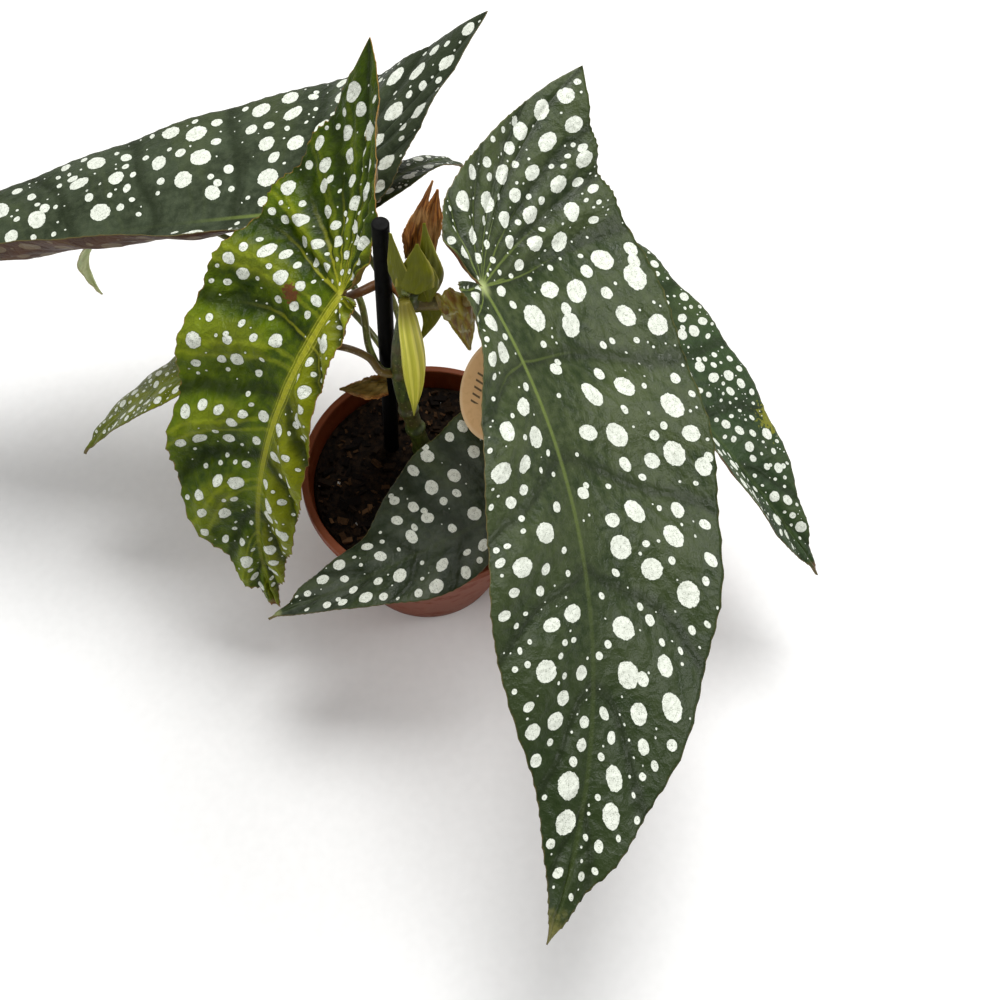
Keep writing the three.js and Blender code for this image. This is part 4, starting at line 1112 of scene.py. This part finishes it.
cane, _ = strandPiece("cane_stem", [caneBody()], stemMaterial("cane skin", caneValues), "stem", ["cane"])
paintPoints(cane, "redness", np.zeros(len(cane.data.vertices)))
neck = petioleValues["neck"]
petioleStrands = [petioleBody(name) for name in petioleValues["routes"]]
petioleStrands.append(tube(smoothPath(neck["points"], neck["steps"]), neck["radii"], neck["sides"]))
petioles, owner = strandPiece(
    "petioles", petioleStrands, stemMaterial("petiole skin", petioleValues), "stem", ["cane"])
redness = [petioleValues["redness"].get(name, 0.0) for name in petioleValues["routes"]] + [0.0]
paintPoints(petioles, "redness", np.array(redness)[owner])
print("stage: cane and petioles")

spearValues = {
    "points": [(-6.5, 1.6, 160.6), (-5.4, 0.2, 151), (-4.2, 0, 136), (-4, 1, 118), (-4.4, 2.2, 97)],
    "radii": [1.7, 3.1, 3.6, 3.85, 3.9, 3.4, 2.45, 1.15, 0.18], "steps": 120, "sides": 72,
    "pleats": 9, "pleatDepth": 0.05, "slimming": 0.93, "lap": 0.16, "seam": 0.05,
    "pale": rgba(0.95, 0.9, 0.16), "stripe": rgba(0.55, 0.55, 0.03), "tip": rgba(0.42, 0.42, 0.05),
    "shade": rgba(0.12, 0.09, 0.01), "roughness": 0.38,
}


def spearRelief(angle, share):
    # pleats along the folded leaf, and the lap where one edge lies over the other
    s = spearValues
    pleat = s["pleatDepth"] * np.sin(s["pleats"] * angle + 2.5 * share)
    turn = (angle - 1.1 - 1.4 * share) % fullTurn
    lap = s["lap"] * np.exp(-turn / 0.5) - s["seam"] * np.exp(-(fullTurn - turn) / 0.3)
    return s["slimming"] + pleat + lap


def spearMaterial():
    s = spearValues
    material, w, shader = newMaterial("spear skin", Specular_IOR_Level=0.3)
    streak = useGroup(w, streakGroup, Lines=2.2, Length=2.0)
    around, along = w.number("around"), w.number("along")
    wave = w.math("SINE", w.plus(w.times(around, float(s["pleats"])), w.times(along, 2.5)))
    colour = w.tint(s["pale"], s["stripe"], w.fade(wave, -0.2, 0.9), 0.75)
    colour = w.tint(colour, s["stripe"], streak["Streak"], 0.4)
    colour = w.tint(colour, s["tip"], w.step(along, 0.75, 1.0))
    colour = w.tint(colour, s["shade"], w.fade(along, 0.02, 0.2), 0.85)
    roughness = w.plus(s["roughness"], w.times(streak["Streak"], 0.12))
    finishSurface(w, shader, colour, roughness, streak["Height"], 0.3)
    return material


spearLine = smoothPath(spearValues["points"], spearValues["steps"])
spearBody = tube(spearLine, spearValues["radii"], spearValues["sides"], spearRelief)
strandPiece("spear_leaf", [spearBody], spearMaterial(), "young_leaf", ["spear"])
print("stage: spear")


# sheaths and stipules

sheetBuild = {"rows": 56, "columns": 22, "thickness": 0.32, "leastWidth": 0.12, "rimThinning": 0.6}
sheathValues = {
    "green": rgba(0.1, 0.108, 0.001), "pale": rgba(0.19, 0.195, 0.003), "edge": rgba(0.36, 0.32, 0.06),
    "roughness": 0.4, "seed": 100, "crumple": 0.4, "ragged": 0.008,
    "forms": [
        {"points": [(-7.6, 5.6, 157), (-9, 4.6, 169), (-10.2, 6, 185)], "widths": (2.4, 4, 2.6, 0.5),
         "facing": (0.7, 1, 0), "hollow": 0.35},
        {"points": [(-3, 8.4, 146), (0.4, 8, 162), (-0.8, 8.2, 187)], "widths": (3, 5.4, 2.6, 0.4),
         "facing": (-0.3, 1, 0), "hollow": 0.35},
        {"points": [(-3.6, 2.4, 163.2), (-3, 3.6, 171), (-2.7, 5.8, 181)], "widths": (5.8, 5.2, 2.8, 0.4),
         "facing": (0, 1, 0.3), "hollow": 0.35},
        {"points": [(0.7, 6.4, 154), (1.4, 5.6, 163), (0, 5.8, 174)], "widths": (0.7, 2.4, 1.8, 0.4),
         "facing": (-0.3, 1, 0), "hollow": 0.3},
        {"points": [(1.6, 8.6, 150.4), (1, 8.8, 141), (-2.4, 8.6, 131)], "widths": (4.8, 3.2, 1.6, 0.4),
         "facing": (0.1, -1, 0), "hollow": -0.2},
    ],
}
flapValues = {
    "olive": rgba(0.24, 0.2, 0.01), "brown": rgba(0.17, 0.08, 0.008), "blotch": rgba(0.42, 0.4, 0.2),
    "roughness": 0.4, "seed": 140, "crumple": 1.3, "ragged": 0.02,
    "forms": [
        {"points": [(4.6, 7.6, 157), (9.4, 6.4, 148), (13.4, 5.6, 131)], "widths": (3.4, 5, 3.4, 0.6),
         "facing": (-0.2, 1, 0.3), "hollow": 0.3},
    ],
}
stipuleValues = {
    "dark": rgba(0.15, 0.045, 0.008), "tan": rgba(0.48, 0.19, 0.035), "pale": rgba(0.52, 0.32, 0.12),
    "olive": rgba(0.16, 0.13, 0.02), "roughness": 0.6, "seed": 160, "crumple": 1.5, "ragged": 0.035,
    "freshness": {"stipule_1": 0.0, "stipule_2": 0.0, "stipule_3": 0.75},
    "forms": {
        "stipule_1": {"points": [(-4.6, 9.8, 171), (-3.2, 10.9, 184), (1.4, 12, 200)],
                      "widths": (2.2, 3.6, 1.7, 0.3), "facing": (0.2, -1, 0), "hollow": 0.4},
        "stipule_2": {"points": [(2.6, 12.8, 153.5), (1.2, 16, 164), (0.8, 18.8, 176), (2.6, 19.8, 188)],
                      "widths": (0.8, 1.2, 3.4, 0.4), "facing": (0, -1, 0), "hollow": 0.3},
        "stipule_3": {"points": [(-13.2, 5, 111.6), (-20, 4.4, 110.2), (-29, 5.2, 107.5)],
                      "widths": (3.4, 4.4, 2.4, 0.4), "facing": (0, -0.3, 1), "hollow": -0.3},
    },
}


def sheetBody(form, seed, crumple, ragged):
    # thin hollowed sheet with an uneven, lightly crumpled outline
    rows, columns = sheetBuild["rows"], sheetBuild["columns"]
    line = smoothPath(form["points"], rows + 1)
    face = unit(np.array(form["facing"], float))
    across = unit(np.cross(face, unit(np.gradient(line, axis=0))))
    share = np.linspace(0, 1, rows + 1)
    half = np.maximum(splineAt(np.array(form["widths"])[:, None], share)[:, 0], sheetBuild["leastWidth"])
    phase = np.random.default_rng(seed).uniform(0, 6.28, 8)
    x = np.linspace(-1, 1, columns + 1)[None, :]
    down, wide = share[:, None], half[:, None]

    def edgeWidth(slow, fast, first, second):
        bites = 1 + np.sin(share * slow + phase[first]) + 0.8 * np.sin(share * fast + phase[second])
        return (half * (1 - ragged * bites))[:, None]

    sideWidth = np.where(x < 0, edgeWidth(37, 71, 0, 1), edgeWidth(31, 83, 2, 3))
    folds = 0.12 * np.sin(x * 5 + down * 8 + phase[4]) + 0.06 * np.sin(x * 11 - down * 23 + phase[5])
    lift = form["hollow"] * wide * x ** 2 + crumple * wide * folds
    middle = line[:, None] + across[:, None] * (sideWidth * x)[..., None] + face * lift[..., None]
    normal = unit(np.cross(np.gradient(middle, axis=0), np.gradient(middle, axis=1)))
    half = sheetBuild["thickness"] / 2 * (1 - sheetBuild["rimThinning"] * np.abs(x) ** 4)
    thick = normal * half[..., None]
    points = np.vstack([(middle + thick).reshape(-1, 3), (middle - thick).reshape(-1, 3)])
    wideRow, count = columns + 1, (rows + 1) * (columns + 1)
    faces = []
    for i in range(rows):
        for k in range(columns):
            a = i * wideRow + k
            b = a + wideRow
            faces.append((a, b, b + 1, a + 1))
            faces.append((count + a, count + a + 1, count + b + 1, count + b))
    rim = [i * wideRow for i in range(rows + 1)] + [rows * wideRow + k for k in range(1, wideRow)]
    rim += [i * wideRow + columns for i in range(rows - 1, -1, -1)] + [k for k in range(columns - 1, 0, -1)]
    faces += [(b, a, count + a, count + b) for a, b in zip(rim, rim[1:] + rim[:1])]
    return points, faces, np.tile(np.repeat(share, wideRow), 2), np.tile(x[0], 2 * (rows + 1))


def sheetPiece(name, forms, values, firstSeed, material, slotName, nodes):
    strands = []
    for k, form in enumerate(forms):
        strands.append(sheetBody(form, firstSeed + k, values["crumple"], values["ragged"]))
    return strandPiece(name, strands, material, slotName, nodes)[0]


def sheathMaterial():
    material, w, shader = newMaterial("sheath skin", Specular_IOR_Level=0.15)
    streak = useGroup(w, streakGroup, Lines=9.0, Length=2.5)
    paleShare = w.plus(w.times(streak["Streak"], 0.25), w.times(streak["Blotch"], 0.2))
    colour = w.mix(paleShare, sheathValues["green"], sheathValues["pale"])
    edge = w.step(w.math("ABSOLUTE", w.number("around")), 0.8, 1.0)
    colour = w.tint(colour, sheathValues["edge"], edge, 0.7)
    roughness = w.plus(sheathValues["roughness"], w.times(streak["Blotch"], 0.12))
    finishSurface(w, shader, colour, roughness, streak["Height"], 0.4)
    return material


def flapMaterial():
    material, w, shader = newMaterial("flap skin", Specular_IOR_Level=0.5)
    streak = useGroup(w, streakGroup, Lines=3.0, Length=5.0)
    colour = w.mix(streak["Streak"], flapValues["olive"], flapValues["brown"])
    blotches = w.step(w.noise(w.objectPlace(), 260.0, 2.0), 0.6, 0.66)
    colour = w.tint(colour, flapValues["blotch"], blotches, 0.8)
    roughness = w.plus(flapValues["roughness"], w.times(streak["Blotch"], 0.15))
    finishSurface(w, shader, colour, roughness, streak["Height"], 0.5)
    return material


def dryMaterial():
    material, w, shader = newMaterial("dry stipule", Specular_IOR_Level=0.3)
    streak = useGroup(w, streakGroup, Lines=7.0, Length=2.0)
    colour = w.mix(streak["Streak"], stipuleValues["dark"], stipuleValues["tan"])
    colour = w.tint(colour, stipuleValues["pale"], streak["Blotch"], 0.5)
    inner = w.fade(w.math("ABSOLUTE", w.number("around")), 0.5, 1.0)
    colour = w.tint(colour, stipuleValues["olive"], w.number("freshness"), inner)
    roughness = w.plus(stipuleValues["roughness"], w.times(streak["Blotch"], 0.12))
    finishSurface(w, shader, colour, roughness, streak["Height"], 0.8, 0.0006)
    return material


sheaths = sheathValues["forms"]
sheetPiece("sheaths", sheaths, sheathValues, sheathValues["seed"], sheathMaterial(), "stem", ["cane"])
flaps = flapValues["forms"]
sheetPiece("leaf_base_flap", flaps, flapValues, flapValues["seed"], flapMaterial(), "stem", ["cane"])
dry = dryMaterial()
for k, (stipuleName, form) in enumerate(stipuleValues["forms"].items()):
    seed = stipuleValues["seed"] + k
    stipule = sheetPiece(stipuleName + "_dry", [form], stipuleValues, seed, dry, "dry_stipule", [stipuleName])
    freshness = stipuleValues["freshness"][stipuleName]
    paintPoints(stipule, "freshness", np.full(len(stipule.data.vertices), freshness))
print("stage: sheaths and stipules")


# pot, soil, stake and label

potValues = {
    "height": 65, "rim": 45, "lip": 4.5, "lipDepth": 1.4, "base": 29, "wall": 1.2, "floor": 1.6, "sides": 160,
    "groove": (1.2, 3.2), "grooveDepth": 0.5, "rimRound": 0.7,
    "holes": 5, "holeRadius": 3, "holeCircle": 20, "holeSides": 40, "creaseAngle": 40,
    "clay": rgba(0.19, 0.042, 0.013), "dark": rgba(0.11, 0.024, 0.008), "dusty": rgba(0.24, 0.085, 0.04),
    "dustShare": 0.5, "scuffShare": 0.2, "paleRim": (0.0625, 0.065), "rimShare": 0.35, "roughness": 0.45,
}


def roundedEdge(radius, top, size, first=0.0):
    # quarter circle from the side of a turned body up to its top
    angles = np.linspace(first, math.pi / 2, 6)
    return [(radius - size + size * math.cos(a), top - size + size * math.sin(a)) for a in angles]


def cutHoles(piece, p):
    # round drainage holes through the pot's floor
    bodies = []
    for k in range(p["holes"]):
        radius = p["holeRadius"]
        points, faces = turnedBody([(0, -2), (radius, -2), (radius, 4), (0, 4)], p["holeSides"])
        angle = k / p["holes"] * fullTurn
        shift = np.array([p["holeCircle"] * math.cos(angle), p["holeCircle"] * math.sin(angle), 0])
        bodies.append((points + shift, faces, points[:, 0], points[:, 0]))
    points, faces, _, _, _ = gather(bodies)
    cutterMesh = bpy.data.meshes.new("cutter")
    cutterMesh.from_pydata([tuple(q) for q in points * mm], [], faces)
    cutter = linkedObject("cutter", cutterMesh)
    modifier = piece.modifiers.new("holes", "BOOLEAN")
    modifier.operation = "DIFFERENCE"
    modifier.solver = "EXACT"
    modifier.object = cutter
    bpy.context.view_layer.update()
    made = bpy.data.meshes.new_from_object(piece.evaluated_get(bpy.context.evaluated_depsgraph_get()))
    piece.modifiers.clear()
    piece.data = made
    bpy.data.objects.remove(cutter)


def potProfile(p):
    # outline from the middle of the underside, up outside, over the rolled rim and down inside
    base, rim, top, near, far = p["base"], p["rim"], p["height"], *p["groove"]
    wallTop, foot, inside = rim - p["lipDepth"], top - p["lip"], p["base"] - p["wall"]
    inner = wallTop - p["wall"]
    under = [(0, 0), (base - far, 0), (base - far + 0.2, p["grooveDepth"])]
    under += [(base - near - 0.2, p["grooveDepth"]), (base - near, 0), (base - 0.5, 0), (base, 0.5)]
    wall = [(base + (wallTop - base) * s, foot * s) for s in np.linspace(0.1, 0.985, 8)]
    lip = [(wallTop, foot - 0.05), (rim - 0.35, foot)]
    lip += [(rim, foot + up) for up in (0.35, 1.6, 3.0)]
    within = [(inner + 0.3, top - 0.05), (inner, top - 0.4), (inner, foot)]
    within += [(inner + (inside - inner) * s, foot + (p["floor"] - foot) * s) for s in (0.3, 0.6, 0.95, 1.0)]
    return under + wall + lip + roundedEdge(rim, top, p["rimRound"]) + within + [(0, p["floor"])]


def potMaterial(p):
    material, w, shader = newMaterial("pot plastic", Specular_IOR_Level=0.12)
    wear = useGroup(w, wearGroup, Scale=120.0)
    colour = w.tint(p["clay"], p["dark"], wear["Dust"], p["dustShare"])
    colour = w.tint(colour, p["dusty"], wear["Scuff"], p["scuffShare"])
    colour = w.tint(colour, p["dusty"], w.step(w.split(w.objectPlace())[2], *p["paleRim"]), p["rimShare"])
    roughness = w.plus(p["roughness"], w.times(wear["Dust"], 0.2))
    finishSurface(w, shader, colour, roughness, wear["Height"], 0.12)
    return material


points, faces = turnedBody(potProfile(potValues), potValues["sides"])
pot = makePiece("pot_shell", points, faces, [potMaterial(potValues)], "pot", ["pot"])
cutHoles(pot, potValues)
pot.data.polygons.foreach_set("use_smooth", np.ones(len(pot.data.polygons), bool))
pot.data.set_sharp_from_angle(angle=math.radians(potValues["creaseAngle"]))
print("stage: pot")

soilValues = {
    "top": 57.5, "foot": 1.95, "lump": 1.3, "clear": 0.4, "sides": 96, "rings": 46, "crumb": 0.16,
    "seed": 201, "chips": 900, "perlite": 14, "reach": 40.6, "edge": 41,
    "keepOut": [(-13.5, 14, 3.4), (-1.2, 10, 3.8)],
    "smallShare": 0.7, "small": (0.5, 1.5), "large": (1.4, 3.2), "grain": (0.5, 0.9),
    "black": rgba(0.005, 0.003, 0.002), "brown": rgba(0.025, 0.014, 0.007), "bark": rgba(0.075, 0.038, 0.016),
    "straw": rgba(0.17, 0.09, 0.04), "white": rgba(0.6, 0.6, 0.57),
}


def soilHeight(x, y):
    coarse = np.sin(0.31 * x + 1.7 * np.sin(0.22 * y)) * np.cos(0.36 * y + 1.3 * np.sin(0.27 * x))
    fine = np.sin(0.93 * x + 2.1) * np.sin(1.07 * y + 0.4)
    return soilValues["top"] + soilValues["lump"] * (0.65 * coarse + 0.35 * fine)


def soilMaterial(name, chips):
    # chips have a tone each, from black crumbs through bark and straw to white grains
    s = soilValues
    material, w, shader = newMaterial(name, Specular_IOR_Level=0.12)
    place = w.objectPlace()
    if chips:
        tone = w.number("tone")
        colour = w.mix(w.step(tone, 0.3, 0.55), s["black"], s["brown"])
        colour = w.tint(colour, s["bark"], w.step(tone, 0.72, 0.8))
        colour = w.tint(colour, s["straw"], w.step(tone, 0.93, 0.97))
        colour = w.tint(colour, s["white"], w.math("GREATER_THAN", tone, 1.5))
        colour = w.tint(colour, s["black"], w.noise(place, 900.0, 4.0), 0.5)
    else:
        colour = w.mix(w.step(w.noise(place, 420.0, 5.0), 0.4, 0.7), s["black"], s["brown"])
    roughness = w.plus(0.72, w.times(w.noise(place, 700.0, 2.0), 0.2))
    finishSurface(w, shader, colour, roughness, w.noise(place, 1600.0, 4.0), 0.8, 0.0006)
    return material


def soilBody(random):
    s, p = soilValues, potValues

    def within(z):
        share = (z - p["floor"]) / (p["height"] - p["lip"] - p["floor"])
        return p["base"] - p["wall"] + share * (p["rim"] - p["lipDepth"] - p["base"]) - s["clear"]

    edge, rings = s["top"] - s["lump"], s["rings"]
    profile = [(0, s["foot"]), (within(s["foot"]), s["foot"]), (within(30), 30), (within(edge), edge)]
    profile += [(within(edge) * i / rings, s["top"]) for i in range(rings - 1, 0, -1)] + [(0, s["top"])]
    points, faces = turnedBody(profile, s["sides"])
    upper = points[:, 2] > s["top"] - 0.01
    x, y = points[upper, 0], points[upper, 1]
    crumb = 0.22 * np.sin(2.3 * x + 1.1 * y) * np.sin(2.9 * y - 0.7 * x)
    crumb = crumb + random.uniform(-s["crumb"], s["crumb"], len(x))
    points[upper, 2] = soilHeight(x, y) + crumb - 0.3
    return points, faces


def soilChip(random, white):
    # one chip, crumb or white grain as eight corners, or none where it would touch the pot or a stem
    s = soilValues
    reach = s["reach"] * math.sqrt(random.random())
    angle = random.uniform(0, fullTurn)
    x, y = reach * math.cos(angle), reach * math.sin(angle)
    if white:
        long = random.uniform(*s["grain"])
        size = np.array([long, long * random.uniform(0.7, 1.0), long * 0.8])
    else:
        long = random.uniform(*(s["small"] if random.random() < s["smallShare"] else s["large"]))
        size = np.array([long, long * random.uniform(0.3, 0.7), long * random.uniform(0.15, 0.4)])
    turn = Matrix.Rotation(random.uniform(0, 6.28), 3, "Z")
    turn = turn @ Matrix.Rotation(random.normal(0, 0.35), 3, "X")
    turn = turn @ Matrix.Rotation(random.normal(0, 0.25), 3, "Y")
    shift = random.uniform(0, 0.9) * size[2]
    crowded = any(math.hypot(x - cx, y - cy) < r + long * 0.5 for cx, cy, r in s["keepOut"])
    if crowded or reach + long > s["edge"]:
        return None
    corners = np.array([(i, j, k) for k in (-1, 1) for j in (-1, 1) for i in (-1, 1)], float)
    body = corners * size * random.uniform(0.65, 1.0, (8, 1)) * random.uniform(0.8, 1.1, (8, 3))
    return body @ np.array(turn).T + np.array([x, y, soilHeight(x, y) + shift - 0.1])


def buildSoil():
    s = soilValues
    random = np.random.default_rng(s["seed"])
    points, faces = soilBody(random)
    makePiece("soil_body", points, faces, [soilMaterial("soil", False)], "soil", ["soil"])
    sides = [(0, 2, 3, 1), (4, 5, 7, 6), (0, 1, 5, 4), (2, 6, 7, 3), (0, 4, 6, 2), (1, 3, 7, 5)]
    bodies, tones = [], []
    for k in range(s["chips"] + s["perlite"]):
        white = k >= s["chips"]
        body = soilChip(random, white)
        if body is not None:
            bodies.append((body, sides, body[:, 0], body[:, 0]))
            tones += [2.0 if white else random.random()] * 8
    points, faces, _, _, _ = gather(bodies)
    material = soilMaterial("soil chips", True)
    chips = makePiece("soil_chips", points, faces, [material], "soil", ["soil"], smooth=False)
    paintPoints(chips, "tone", tones)
    print("stage: soil,", len(bodies), "chips")


buildSoil()

stakeValues = {
    "x": -13.5, "y": 14, "radius": 2.65, "foot": 8, "point": 0.8, "taper": 8, "top": 180, "rounding": 0.6,
    "dish": 0.14, "sides": 48, "black": rgba(0.0016, 0.0015, 0.0014), "worn": rgba(0.007, 0.007, 0.007),
    "scuffShare": 0.5, "wornTop": (0.1796, 0.18), "topShare": 0.7, "roughness": 0.55,
}


def stakeMaterial(s):
    material, w, shader = newMaterial("stake plastic", Specular_IOR_Level=0.06)
    wear = useGroup(w, wearGroup, Scale=260.0)
    colour = w.tint(s["black"], s["worn"], wear["Scuff"], s["scuffShare"])
    colour = w.tint(colour, s["worn"], w.step(w.split(w.objectPlace())[2], *s["wornTop"]), s["topShare"])
    roughness = w.plus(s["roughness"], w.times(wear["Dust"], 0.2))
    finishSurface(w, shader, colour, roughness, wear["Height"], 0.15)
    return material


s = stakeValues
radius, top = s["radius"], s["top"]
profile = [(0, s["foot"]), (s["point"], s["foot"]), (radius, s["foot"] + s["taper"])]
profile += [(radius, z) for z in np.linspace(30, top - 0.9, 14)]
profile += roundedEdge(radius, top, s["rounding"], 0.1)
profile += [(1.2, top), (0.5, top - 0.12), (0, top - s["dish"])]
points, faces = turnedBody(profile, s["sides"])
makePiece("stake_rod", points + np.array([s["x"], s["y"], 0]), faces, [stakeMaterial(s)], "stake", ["stake"])

labelValues = {
    "stem": {"x": 22, "y": 24.5, "width": 5, "foot": 42, "point": 4},
    "head": {"x": 24.5, "y": 13, "z": 98.5, "width": 27, "length": 37, "slope": 24, "turn": -14, "sides": 96},
    "dashes": {"x": -7.4, "half": 1.4, "from": -7.0, "to": 5.0, "pitch": 2.4, "slant": 0.35, "blur": 0.12},
    "thickness": 0.8, "bevel": 0.15, "creaseAngle": 35, "inkShare": 0.85,
    "card": rgba(0.8, 0.52, 0.25), "fibre": rgba(0.66, 0.4, 0.17), "rim": rgba(0.9, 0.68, 0.42),
    "ink": rgba(0.02, 0.014, 0.01), "roughness": 0.7,
}


def bevelledCard(outline, thickness, bevel):
    # flat card from an outline of (x, y) points, with softened edges
    outline = np.asarray(outline, float)
    inward = unit(outline.mean(0) - outline) * bevel
    half = thickness / 2
    levels = [(inward, -half), (inward * 0, -half + bevel), (inward * 0, half - bevel), (inward, half)]
    points = np.vstack([np.column_stack([outline + shift, np.full(len(outline), z)]) for shift, z in levels])
    count = len(outline)
    ends = [tuple(range(count - 1, -1, -1)), tuple(range(3 * count, 4 * count))]
    return points, ends + ringFaces(len(levels), count)


def labelBodies(v):
    # oval head and straight stick, and each point's place on the head, with a share for the ink
    head, stick = v["head"], v["stem"]
    angle = np.linspace(0, fullTurn, head["sides"], endpoint=False)
    oval = np.column_stack([head["width"] / 2 * np.cos(angle), head["length"] / 2 * np.sin(angle)])
    flatHead, headFaces = bevelledCard(oval, v["thickness"], v["bevel"])
    slope = math.radians(head["slope"])
    turn = Matrix.Rotation(math.radians(head["turn"]), 3, "Z") @ Matrix.Rotation(slope, 3, "X")
    headPoints = flatHead @ np.array(turn).T + np.array([head["x"], head["y"], head["z"]])
    top = head["z"] + (stick["y"] - head["y"]) * math.tan(slope)
    half, foot, shoulder = stick["width"] / 2, stick["foot"], stick["foot"] + stick["point"]
    outline = [(-half, top), (-half, shoulder), (0, foot), (half, shoulder), (half, top)]
    flat, stickFaces = bevelledCard(outline, v["thickness"], v["bevel"])
    stickPoints = np.column_stack([flat[:, 0] + stick["x"], -flat[:, 2] + stick["y"], flat[:, 1]])
    faces = headFaces + [tuple(i + len(headPoints) for i in face) for face in stickFaces]
    onHead = np.column_stack([flatHead[:, :2], np.full(len(flatHead), v["inkShare"])])
    return np.vstack([headPoints, stickPoints]), faces, np.vstack([onHead, np.zeros((len(stickPoints), 3))])


def labelMaterial(v):
    # tan card with a paler rim, and plain slanted dashes in place of writing
    dashes = v["dashes"]
    material, w, shader = newMaterial("label card", Specular_IOR_Level=0.3)
    wear = useGroup(w, wearGroup, Scale=500.0)
    colour = w.tint(v["card"], v["fibre"], wear["Dust"], 0.5)
    x, y, onHead = w.split(w.vector("card"))
    across, down = w.math("DIVIDE", x, v["head"]["width"] / 2), w.math("DIVIDE", y, v["head"]["length"] / 2)
    reach = w.math("SQRT", w.plus(w.times(across, across), w.times(down, down)))
    colour = w.tint(colour, v["rim"], w.step(reach, 0.9, 0.97), onHead, 0.6)
    inner, outer = dashes["half"] - dashes["blur"], dashes["half"] + dashes["blur"]
    beside = w.fade(w.math("ABSOLUTE", w.minus(x, dashes["x"])), inner, outer)
    slant = w.math("FRACT", w.math("DIVIDE", w.plus(y, w.times(x, dashes["slant"])), dashes["pitch"]))
    stroke = w.times(w.fade(slant, 0.28, 0.36), w.step(slant, 0.0, 0.04))
    ends = w.times(w.math("GREATER_THAN", y, dashes["from"]), w.math("LESS_THAN", y, dashes["to"]))
    colour = w.tint(colour, v["ink"], beside, stroke, ends, onHead)
    roughness = w.plus(v["roughness"], w.times(wear["Scuff"], 0.1))
    finishSurface(w, shader, colour, roughness, wear["Height"], 0.2)
    return material


points, faces, cardPlaces = labelBodies(labelValues)
label = makePiece("label_card", points, faces, [labelMaterial(labelValues)], "label", ["label"])
label.data.set_sharp_from_angle(angle=math.radians(labelValues["creaseAngle"]))
paintPoints(label, "card", cardPlaces)
print("stage: stake and label")
